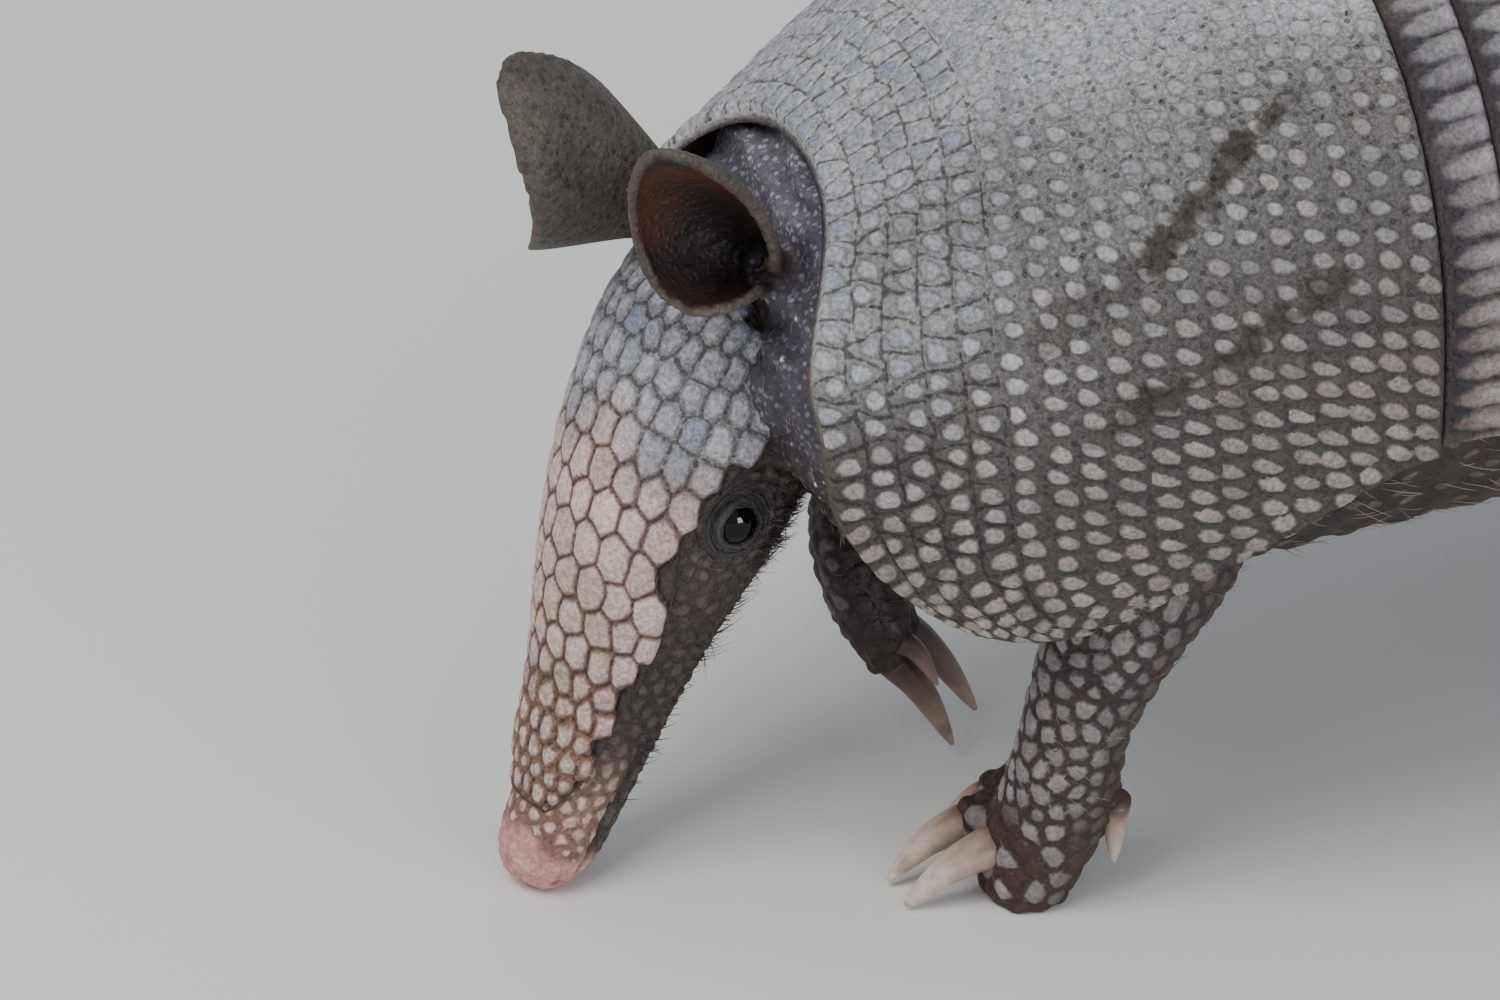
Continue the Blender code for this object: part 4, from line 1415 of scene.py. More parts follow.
@dataclass(frozen=True)
class Ear:
    """One ear: a cup nearly closed at its root and open at its tip.

    Attributes:
        name: Which ear.
        wall: How thick it is.
    """

    name: str
    wall: float = 1.9

    def arc(self, share: float, columns: int) -> tuple[Points, Points, float, Points]:
        """Gives one arc across the ear.

        Args:
            share: How far along the ear.
            columns: Points in the arc.

        Returns:
            The arc's middles, the ways out of the cup, its radius, and how far each point is from the
            ear's edge.
        """
        root, tip, opening, spread = EARS[self.name]
        root, tip = from_head(root)[0], from_head(tip)[0]
        opening = from_head(opening)[0] - NOSE
        length = np.linalg.norm(tip - root)
        way = (tip - root) / length
        mouth = opening - way * (way @ opening)
        mouth /= np.linalg.norm(mouth)
        rearward = np.cross(way, mouth) * (1 if self.name == "ear_left" else -1)
        radius, half, run_on, front = curve(EAR_CUP, share)[0]
        half = math.radians(min(half / spread, 165))
        place = np.linspace(0, 1, columns)
        turns = half * ((1 + front) * place - front)
        centre = root + way * (length * share + run_on * np.sin(turns))[:, None]
        out = rearward * np.sin(turns)[:, None] - mouth * np.cos(turns)[:, None]
        side = np.minimum(place, 1 - place) * (1 + front) * half * radius * spread
        return centre, out, radius * spread, np.minimum(side, (1.02 - share) * length)

    def rings(self) -> Points:
        """Gives the ear's rings.

        Returns:
            Rings by sides by x, y and z.
        """
        rings = []
        for share in np.linspace(0, 1.02, 44):
            centre, out, radius, _ = self.arc(share, 33)
            outer, inner = radius + self.wall / 2, radius - self.wall / 2
            rings.append(np.vstack([centre + out * outer, (centre + out * inner)[::-1]]))
        return np.array(rings)

    def sheet(self, shares: Points, columns: int) -> tuple[Points, ...]:
        """Gives the middle of the ear's wall.

        Args:
            shares: How far along the ear each arc lies.
            columns: Points in an arc.

        Returns:
            The points, the ways out of the cup, their shares of the length, and how far each is from
            the ear's edge.
        """
        middles, ways, radii, edges = zip(*(self.arc(float(share), columns) for share in shares))
        places = np.vstack([at + out * radius for at, out, radius in zip(middles, ways, radii)])
        return places, np.vstack(ways), np.repeat(shares, columns), np.concatenate(edges)


# Along a claw: share of its length and of the toe's radius.
CLAW_TAPER = ((0.0, 1.0), (0.2, 0.96), (0.35, 0.86), (0.55, 0.73), (0.7, 0.6), (0.88, 0.38), (1.0, 0.14))


@dataclass(frozen=True)
class Toe:
    """One digit: its flesh and its claw.

    Attributes:
        knuckle: Where the toe starts.
        end: Where its flesh ends.
        tip: The claw's tip.
        radius: The toe's radius.
    """

    knuckle: Points
    end: Points
    tip: Points
    radius: float

    def flesh(self) -> Points:
        """Gives the toe's rings.

        Returns:
            Rings by sides by x, y and z.
        """
        r = self.radius
        over = self.end + (self.end - self.knuckle) / np.linalg.norm(self.end - self.knuckle) * 0.6
        path = (
            (*self.knuckle, r * 1.1, r * 1.1), (*((self.knuckle + self.end) / 2), r, r),
            (*self.end, r * 0.93, r * 0.93), (*over, r * 0.62, r * 0.62),
        )
        return rings_round(path, 20, 10)

    def claw(self) -> Points:
        """Gives the claw's rings: deep at the base, arched, drawn to a worn point.

        Returns:
            Rings by sides by x, y and z.
        """
        way = (self.tip - self.end) / np.linalg.norm(self.tip - self.end)
        base = self.end - way * 0.8
        path = []
        for share, size in CLAW_TAPER:
            x, y, z = base + (self.tip - base) * share
            lift = 2.2 * math.sin(math.pi * share) * 0.8
            path.append((x, y, z + lift, self.radius * size * 0.72, self.radius * size * 0.68))
        return rings_round(tuple(path), 20, 22)


@dataclass(frozen=True)
class Paw:
    """One paw's digits.

    Attributes:
        name: The paw's name in the frame.
        digits: Rows of name, knuckle, flesh end, claw tip and radius.
        side: 1 as given, -1 mirrored to the right.
        shift: How far back the paw stands.
        base: The claws' colour at the root.
        point: Their colour at the tip.
    """

    name: str
    digits: tuple
    side: int
    shift: float
    base: str = "A58A7C"
    point: str = "D3C3B5"

    def toes(self) -> list[Toe]:
        """Places the digits.

        Returns:
            The toes.
        """
        turn, move = np.array((self.side, 1, 1)), np.array((0, self.shift, 0))
        return [
            Toe(*(np.array(p, float) * turn + move for p in (knuckle, end, tip)), radius)
            for _, knuckle, end, tip, radius in self.digits
        ]

    def build(self) -> Object:
        """Makes the paw's claws.

        Returns:
            One object with every claw of the paw.
        """
        flesh, tints = Flesh(), []
        for toe in self.toes():
            rings = toe.claw()
            flesh.add(rings)
            share = np.repeat(np.linspace(0, 1, len(rings)), rings.shape[1])
            points = flesh.points[-1]
            share = np.concatenate([share, [0, 1]])
            tint = mix(self.base, self.point, smooth(0.1, 0.85, share))
            streak = noise(points * np.array((1, 0.25, 0.25)), 0.9, 3.0)
            tint = mix(tint, "6E5346", smooth(0.55, 0.8, streak) * 0.45)
            tint = mix(tint, "4A3730", (1 - smooth(0.0, 0.22, share)) * 0.8)
            tints.append(tint)
        points = np.vstack(flesh.points)
        points[:, 2] = np.maximum(points[:, 2], 0.0)
        return make_object(f"{self.name}_claws", points, flesh.faces, np.vstack(tints), Finish.HORN)


PAWS = (
    Paw("forepaw_left", DIGITS_LEFT, 1, 0.0),
    # The raised right forepaw's claws are painted darker: painted shade.
    Paw("forepaw_right", DIGITS_RIGHT, 1, 0.0, "5A4840", "9A8578"),
    Paw("hindpaw_left", DIGITS_HIND, 1, 0.0),
    Paw("hindpaw_right", DIGITS_HIND, -1, RIGHT_HIND_STEP),
)
ROUND = np.linspace(-180, 180, 72, endpoint=False)
FLESH_NODES = (
    "head", "ear_left", "ear_right", "neck", "trunk", "foreleg_left", "foreleg_right", "forepaw_left",
    "forepaw_right", "hindleg_left", "hindleg_right", "hindpaw_left", "hindpaw_right",
)


@dataclass(frozen=True)
class Skin:
    """The one skin over head, ears, neck, trunk and legs.

    Attributes:
        voxel: The mesh's own fineness in millimetres.
        under_shell: How far the trunk lies inside the armour's outside.
    """

    voxel: float = 0.85
    under_shell: float = 4.2

    def trunk(self) -> Points:
        """Gives the trunk's rings.

        Returns:
            Rings by sides by x, y and z.
        """
        rings = []
        for y in np.linspace(58, 303, 60):
            taper = 0.5 + 0.5 * math.sin(min((y - 58) / 26, 1) * math.pi / 2)
            rings.append(body_point(y, ROUND, self.under_shell, taper, flesh=True))
        return np.array(rings)

    def head(self) -> Points:
        """Gives the head's rings."""
        return np.array([head_point(at, ROUND, -0.1) for at in np.linspace(-1.9, 109, 90)])

    def neck(self) -> Points:
        """Gives the neck's rings, which widen to fill the front of the shoulder shield.

        Returns:
            Rings by sides by x, y and z.
        """
        rings, turn = [], np.abs(ROUND)
        forward = 5.0 * np.sin(np.minimum(turn / 70, 1) * math.pi / 2) ** 2 * smooth(150, 110, turn)
        for y in np.linspace(35, 72, 30):
            ahead = y - forward * (1 - smooth(56, 72, np.array([y])))
            rings.append(body_point(ahead, ROUND, NECK_INSET, curve(NECK, y)[0, 0], flesh=True))
        return np.array(rings)

    def gather(self) -> Flesh:
        """Collects every part of the flesh.

        Returns:
            The overlapping lofts.
        """
        flesh = Flesh()
        ears = (Ear(name).rings() for name in EARS)
        for rings in (self.head(), *ears, self.neck(), self.trunk()):
            flesh.add(rings)
        for limb in LIMBS:
            flesh.add(rings_round(limb, 40, 40))
        for instep in INSTEPS:
            flesh.add(rings_round(instep, 28, 16))
        for paw in PAWS:
            for toe in paw.toes():
                flesh.add(toe.flesh())
        return flesh

    def merge(self, flesh: Flesh) -> Object:
        """Merges the lofts into one closed skin, fine where it shows and coarse under the armour.

        Args:
            flesh: The lofts.

        Returns:
            The skin, still in millimetres.
        """
        mesh = bpy.data.meshes.new("skin")
        points = np.vstack(flesh.points)
        points[:, 2] = np.maximum(points[:, 2], 0.0)
        mesh.from_pydata(points, [], flesh.faces)
        obj = bpy.data.objects.new("skin", mesh)
        bpy.context.scene.collection.objects.link(obj)
        outward(mesh)
        remesh = obj.modifiers.new("merge", "REMESH")
        remesh.mode = "VOXEL"
        remesh.voxel_size = self.voxel
        apply_modifiers(obj)
        ease = obj.modifiers.new("ease", "SMOOTH")
        ease.factor, ease.iterations = 0.5, 4
        apply_modifiers(obj)
        points = read_rows(obj.data.vertices, "co")
        hidden = self.hidden(points)
        group = obj.vertex_groups.new(name="hidden")
        group.add(np.nonzero(hidden)[0].tolist(), 1.0, "REPLACE")
        share = hidden.mean()
        thin = obj.modifiers.new("thin", "DECIMATE")
        thin.vertex_group = "hidden"
        thin.ratio = 1 - share * 0.94
        apply_modifiers(obj)
        return obj

    @staticmethod
    def hidden(points: Points) -> Points:
        """Finds the skin that no one sees under the armour.

        Args:
            points: The skin's points.

        Returns:
            True for each hidden point.
        """
        x, y, z = points.T
        edge = curve(ARMOUR_EDGE, np.clip(y, 20, 312))[:, 0]
        row = curve(BODY, np.clip(y, 20, 312))
        turn = np.degrees(np.arctan2(np.abs(x - row[:, 0]) / row[:, 2], (z - row[:, 1]) / row[:, 3]))
        return (y > 66) & (y < 292) & (turn < edge - 14) & (z > 62)

    def refine(self, obj: Object, spots: list[tuple[Points, float, int]]) -> None:
        """Makes the mesh finer round small features.

        Args:
            obj: The skin.
            spots: The middle, reach and number of halvings of each spot.
        """
        bm = bmesh.new()
        bm.from_mesh(obj.data)
        for middle, reach, times in spots:
            for step in range(times):
                at, size = Vector(middle), reach * (1 - 0.22 * step)
                edges = [e for e in bm.edges if (e.verts[0].co - at).length < size
                         and (e.verts[1].co - at).length < size]
                bmesh.ops.subdivide_edges(bm, edges=edges, cuts=1, use_grid_fill=True)
        bmesh.ops.triangulate(bm, faces=[f for f in bm.faces if len(f.verts) > 4])
        bm.to_mesh(obj.data)
        bm.free()

    def build(self) -> tuple[Object, "Marks"]:
        """Makes the skin.

        Returns:
            One closed mesh with its relief and colours, and what part each point belongs to.
        """
        obj = self.merge(self.gather())
        spots = [(Eye(side).frame()[0], 11.0, 2) for side in (1, -1)]
        spots.append((head_point(2.0, 180.0, -6)[0], 9.0, 1))
        self.refine(obj, spots)
        points = read_rows(obj.data.vertices, "co")
        ways = read_rows(obj.data.vertex_normals, "vector")
        marks = Marks(points, ways)
        points = points + ways * marks.relief()[:, None]
        shares = []
        for side in (1, -1):
            points, share = Eye(side).shape(points)
            shares.append(share)
        points[:, 2] = np.maximum(points[:, 2], 0.0)
        tint, fill, zones = marks.colour(np.minimum(*shares))
        obj.data.vertices.foreach_set("co", PLACE(points).astype(np.float32).ravel())
        obj.data.update()
        obj.vertex_groups.clear()
        paint(obj.data, tint, fill, zones)
        obj.data.materials.clear()
        obj.data.materials.append(MATERIALS[Finish.SKIN])
        obj.data.shade_smooth()
        marks.points = points
        return obj, marks


def apply_modifiers(obj: Object) -> None:
    """Applies an object's modifiers.

    Args:
        obj: The object.
    """
    bpy.context.view_layer.update()
    made = bpy.data.meshes.new_from_object(obj.evaluated_get(bpy.context.evaluated_depsgraph_get()))
    obj.modifiers.clear()
    old = obj.data
    obj.data = made
    bpy.data.meshes.remove(old)


def read_rows(source: bpy.types.bpy_prop_collection, key: str) -> Points:
    """Reads three numbers from each of a mesh's points.

    Args:
        source: The mesh's vertices or their normals.
        key: Which property to read.

    Returns:
        Rows of x, y and z.
    """
    flat = np.empty(len(source) * 3, np.float32)
    source.foreach_get(key, flat)
    return flat.reshape(-1, 3).astype(float)


class Marks:
    """The skin's relief, colours and zones, which belong to its parts."""

    def __init__(self, points: Points, ways: Points) -> None:
        """Finds what part of the animal each point belongs to.

        Args:
            points: The skin's points.
            ways: The way out at each.
        """
        self.points, self.ways = points, ways
        y, z = points[:, 1], points[:, 2]
        self.along, self.turn, off = to_head(points).T
        self.find_ears()
        width, brow, chin = curve(HEAD, np.clip(self.along, -2, 109)).T
        a = np.radians(self.turn)
        surface = 1 / np.hypot(np.sin(a) / width, np.cos(a) / np.where(np.abs(self.turn) <= 90, brow, chin))
        fits = (1 - smooth(0.9, 2.6, np.abs(off - surface))) * (self.along < 108) * (y < 66)
        self.head = np.maximum(fits, (self.along < 3) & (y < 30)) * (1 - self.ear)
        self.leg = self.near_limbs() * (1 - self.head)
        self.neck = (1 - self.head) * (1 - self.ear) * (1 - self.leg) * (1 - smooth(62, 72, y))
        self.belly = (1 - self.head) * (1 - self.ear) * (1 - self.leg) * (1 - self.neck)
        self.front = smooth(0.55, -0.25, ways[:, 1]) * self.leg
        toe = (z < 13) & (self.leg > 0.5)
        size = np.where(self.leg > 0.5, np.where(toe, 3.4, 3.25), 2.3)
        size = np.where(self.neck > 0.5, 2.0, size)
        self.size = size = np.where(self.belly > 0.5, 5.2, size)
        sites = scatter(points, size)
        field = Scutes(points[sites], size[sites] * 0.16 * (chance(sites, 1) - 0.5))
        self.edge, self.reach, self.number = field.look_up(points, near=4)

    def find_ears(self) -> None:
        """Finds the ears, their insides and their rims."""
        count = len(self.points)
        self.ear, self.cup, self.rim = np.zeros(count), np.zeros(count), np.full(count, 99.0)
        self.up = np.zeros(count)
        high = np.nonzero((self.points[:, 2] > 84) & (self.points[:, 1] < 62))[0]
        for name in EARS:
            middle, out, share, edge = Ear(name).sheet(np.linspace(0.0, 1.02, 60), 41)
            tree = KDTree(len(middle))
            for number, at in enumerate(middle):
                tree.insert(at, number)
            tree.balance()
            found = [tree.find(self.points[i]) for i in high]
            number = np.array([f[1] for f in found])
            away = np.array([f[2] for f in found])
            fits = (1 - smooth(1.5, 2.6, away)) * smooth(0.05, 0.2, share[number])
            inward = -np.sum(self.ways[high] * out[number], axis=1)
            better = fits > self.ear[high]
            found = (fits, smooth(-0.25, 0.35, inward), edge[number], share[number])
            for values, new in zip((self.ear, self.cup, self.rim, self.up), found):
                values[high] = np.where(better, new, values[high])

    def near_limbs(self) -> Points:
        """Finds the legs and paws.

        Returns:
            1 on a limb, easing to 0 off it.
        """
        gap = np.full(len(self.points), 99.0)
        low = np.nonzero(self.points[:, 2] < 66)[0]
        at = self.points[low]
        rows = []
        for limb in LIMBS:
            rows.append(curve(along(limb), np.linspace(0, 1, 36)))
        for instep in INSTEPS:
            rows.append(curve(along(instep), np.linspace(0, 1, 14)))
        for paw in PAWS:
            for toe in paw.toes():
                path = np.linspace(toe.knuckle, toe.end, 6)
                rows.append(np.column_stack([path, np.full((6, 2), toe.radius)]))
        for row in np.vstack(rows):
            gap[low] = np.minimum(gap[low], np.linalg.norm(at - row[:3], axis=1) - row[3:5].max())
        return 1 - smooth(0.8, 3.6, gap + (noise(self.points, 6, 5.0) - 0.5) * 1.6)

    def crease(self) -> Points:
        """Gives the phase of the neck's upright folds."""
        p = self.points
        return (p[:, 1] + 0.25 * p[:, 2] + (noise(p, 13, 2.0) - 0.5) * 9) * 2 * math.pi / 5.2

    def relief(self) -> Points:
        """Works out how far each point stands off the plain skin.

        Returns:
            Heights in millimetres.
        """
        p = self.points
        bare = 1 - self.ear
        dome = smooth(0.0, 0.4, self.edge / self.size) - 0.6
        height = dome * (0.5 * self.leg + 0.5 * self.neck + 0.22 * self.head + 0.35 * self.belly) * bare
        height += (noise(p, 3.2, 1.0) - 0.5) * 0.5 * (self.neck + 0.25 * self.head)
        height -= 0.75 * np.sin(self.crease()) * self.neck
        height += 0.35 * np.sin((p[:, 1] + (noise(p, 18, 4.0) - 0.5) * 7) * 2 * math.pi / 7.4) * self.belly
        mouth_turn = 112 + 14 * smooth(4, 40, self.along)
        width = curve(HEAD, np.clip(self.along, -2, 109))[:, 0]
        away = np.radians(np.abs(np.abs(self.turn) - mouth_turn)) * width
        self.mouth = (1 - smooth(0.25, 0.8, away)) * smooth(1, 4, self.along)
        self.mouth = self.mouth * (1 - smooth(36, 44, self.along)) * (self.head > 0.5)
        height -= 0.8 * self.mouth
        self.nostril = np.zeros(len(p))
        for side in (-1, 1):
            middle = head_point(-0.2, side * 98.0, 0.2)[0]
            self.nostril = np.maximum(self.nostril, 1 - smooth(0.7, 1.5, np.linalg.norm(p - middle, axis=1)))
        height -= 1.2 * self.nostril
        rib = np.sin(self.along * 2 * math.pi / 2.1 + (noise(p, 4, 3.0) - 0.5) * 3)
        height += 0.14 * rib * self.head * (np.abs(self.turn) > 45) * smooth(12, 25, self.along)
        fold = np.sin(self.rim * 2 * math.pi / 4.2 + self.up * 5)
        height += self.ear * self.cup * (1 - smooth(0.25, 0.6, self.up)) * 0.4 * fold
        height += self.ear * 0.25 * (1 - smooth(0.5, 1.6, self.rim))
        return height - 0.12

    def colour(self, eye: Points) -> tuple[Points, ...]:
        """Works out each point's colours.

        Args:
            eye: How far each point lies out from the nearer eye, in shares of its opening.

        Returns:
            The ground's colour, the scutes' colour, and the marks.
        """
        p = self.points
        luck, other = chance(self.number, 5), chance(self.number, 6)
        blotch = noise(p, 6, 1.0)
        # Belly and flanks: dark skin, painted darker still for the shade under the body, with low bumps.
        tint = mix("2B211F", "40332E", blotch)
        fill = mix("54453E", "6D5C52", luck)
        disc = np.where(other > 0.35, 1.3 - self.reach, -9.0)
        stone = np.full(len(p), 0.2)
        # Neck: grey-purple grains with a few pale ones.
        neck = mix("423F48", "68646E", blotch)
        neck = mix(neck, mix("2C2626", "4A4243", blotch), 1 - smooth(70, 92, p[:, 2]))
        # Painted shade in the neck's folds, darkest where the relief dips.
        fold = 0.5 + 0.5 * np.sin(self.crease())
        neck = mix(neck, neck * 0.55, fold * 0.7)
        tint = mix(tint, neck, self.neck)
        dusty = smooth(0.45, 0.75, noise(p, 9, 7.0)) * smooth(84, 108, p[:, 2])
        tint = mix(tint, "827F86", self.neck * dusty * 0.3)
        fill = mix(fill, mix("8A8388", "BDB6B6", luck), self.neck)
        disc = np.where(self.neck > 0.5, np.where(other > 0.9, 0.2 + 0.3 * luck - self.reach, -9.0), disc)
        stone = np.where(self.neck > 0.5, -3.6, stone)
        # Legs: pale rounded scutes in front, dark ones behind; the dark back is partly painted shade on the
        # side turned from the light.
        leg = mix("2E2421", "4A3A33", blotch)
        worn = mix("7A7373", "999190", luck)
        worn = mix("4C3E39", worn, self.front)
        # The raised right foreleg gets painted shade: darker scutes, and most of its pale scutes left out.
        raised = (p[:, 0] < 0) & (p[:, 1] < 110)
        worn = mix(worn, "54443D", raised * 0.7)
        paw = np.maximum((1 - smooth(14, 22, p[:, 2])) * (other < 0.62), raised * (other < 0.6))
        leg = mix(leg, "4B332C", (1 - smooth(10, 24, p[:, 2])) * 0.7)
        worn = mix(worn, leg, paw)
        tint = mix(tint, leg, self.leg)
        fill = mix(fill, worn, self.leg)
        disc = np.where(self.leg > 0.5, self.edge - 0.34 - 0.25 * other, disc)
        # Head: fine dark skin under the jaw and round the cheeks, pink at the nose.
        head = mix("352B28", "4D403B", blotch)
        tip = (1 - smooth(14, 26, self.along)) * (1 - smooth(96, 122, np.abs(self.turn)))
        head = mix(head, "8C6658", tip)
        nose = 1 - smooth(4.0, 7.5, self.along + (noise(p, 3, 2.0) - 0.5) * 4)
        pink = mix("C0867C", "D6A69B", noise(p, 2.2, 4.0))
        under = smooth(118, 140, np.abs(self.turn)) * smooth(0.0, 4.0, self.along)
        pink = mix(pink, "7D6A66", under * 0.7)
        head = mix(head, pink, nose)
        # Nostrils and the mouth's line are painted near-black: painted shade in their dents.
        dark = np.clip(self.mouth + self.nostril, 0, 1) * 0.9
        tint = mix(tint, mix(head, "2C2422", dark), self.head)
        scale = mix("463A36", "5E5049", luck)
        scale = mix(scale, mix("D8B6AD", "C49E93", luck), tip)
        scale = mix(scale, mix(head, "D9B3A9", luck * 0.5), nose)
        fill = mix(fill, mix(scale, "2C2422", dark), self.head)
        disc = np.where(self.head > 0.5, self.edge - 0.3 - 0.25 * other - 2.0 * nose, disc)
        stone = np.where(self.head > 0.5, 0.25 - 0.2 * nose, stone)
        # Ears: dusty brown with dark grains behind, darker within from dark skin and painted shade inside the
        # cup, reddish patches within, pale grains on the rim.
        back = mix("6A6159", "4C453F", noise(p, 7, 9.0))
        within = mix("1F1816", "3A2C27", noise(p, 5, 3.0))
        warm = smooth(0.4, 0.75, self.up) * (1 - smooth(0.9, 1.02, self.up))
        within = mix(within, "6B3A2B", warm * 0.6 * smooth(0.4, 0.7, noise(p, 8, 6.0)))
        rim = 1 - smooth(0.3, 1.2, self.rim)
        ear = mix(mix(back, within, self.cup), "544A43", rim * 0.8)
        tint = mix(tint, ear, self.ear)
        fill = mix(fill, ear, self.ear)
        disc = np.where(self.ear > 0.4, -9.0, disc)
        stone = np.where(self.ear > 0.4, np.where(self.cup > 0.5, 0.35, 0.95) * (1 - 1.6 * rim), stone)
        # Lids, with a paler ring of painted sheen on their rim.
        lid = mix("252225", "3B383D", noise(p, 1.3, 5.0))
        ring = smooth(1.15, 1.3, eye) * (1 - smooth(1.3, 1.5, eye))
        lid = mix(lid, "77767E", ring * 0.3)
        near = (1 - smooth(1.7, 2.3, eye)) * 0.92
        tint, fill = mix(tint, lid, near), mix(fill, lid, near)
        hole = 1 - smooth(1.0, 1.16, eye)
        tint, fill = mix(tint, "0C0A0B", hole), mix(fill, "0C0A0B", hole)
        disc = np.where(near > 0.4, -9.0, disc)
        shade = (0.86 + 0.28 * noise(p, 16, 8.0))[:, None]
        return tint * shade, fill * shade, np.column_stack([disc, np.full(len(p), -9.0), stone])


def scatter(points: Points, size: Points) -> Points:
    """Picks points no nearer to one another than their size.

    Args:
        points: Rows of x, y and z.
        size: The spacing wanted round each.

    Returns:
        The picked points' numbers.
    """
    order = np.argsort(chance(np.arange(len(points)), 7))
    cells: dict[tuple[int, int, int], list[int]] = {}
    cell = np.floor(points / 4.6).astype(int)
    rows, sizes, picked = points.tolist(), size.tolist(), []
    steps = tuple(product((-1, 0, 1), repeat=3))
    for number in order.tolist():
        x, y, z = rows[number]
        cx, cy, cz = cell[number].tolist()
        limit = (sizes[number] * 0.92) ** 2
        near = (rows[other] for dx, dy, dz in steps for other in cells.get((cx + dx, cy + dy, cz + dz), ()))
        if all((x - ox) ** 2 + (y - oy) ** 2 + (z - oz) ** 2 >= limit for ox, oy, oz in near):
            cells.setdefault((cx, cy, cz), []).append(number)
            picked.append(number)
    return np.array(picked)


@dataclass(frozen=True)
class Tuft:
    """One growth of hairs.

    Attributes:
        count: How many hairs.
        length: Their shortest and longest, in millimetres.
        radius: Their radius at the root.
        rise: How much of their length stands off the skin.
        root: Their colour at the root.
        tip: Their colour at the tip.
    """

    count: int
    length: tuple[float, float]
    radius: float
    rise: float
    root: str
    tip: str


TUFTS: dict[str, Tuft] = {
    "jaw": Tuft(620, (1.4, 3.4), 0.085, 0.55, "1E1816", "4A3D36"),
    "throat": Tuft(420, (3.0, 6.5), 0.075, 0.45, "5C4E44", "C9BBA8"),
    "cheek": Tuft(320, (1.2, 2.8), 0.06, 0.3, "3A302B", "8A7C70"),
    "neck": Tuft(260, (2.0, 4.5), 0.07, 0.3, "5C4E44", "B9AC9C"),
    "belly": Tuft(1500, (4.0, 9.0), 0.085, 0.3, "7A6A5C", "CDC0AC"),
    "legs": Tuft(620, (2.0, 4.5), 0.075, 0.25, "4A3C34", "A89A8A"),
}


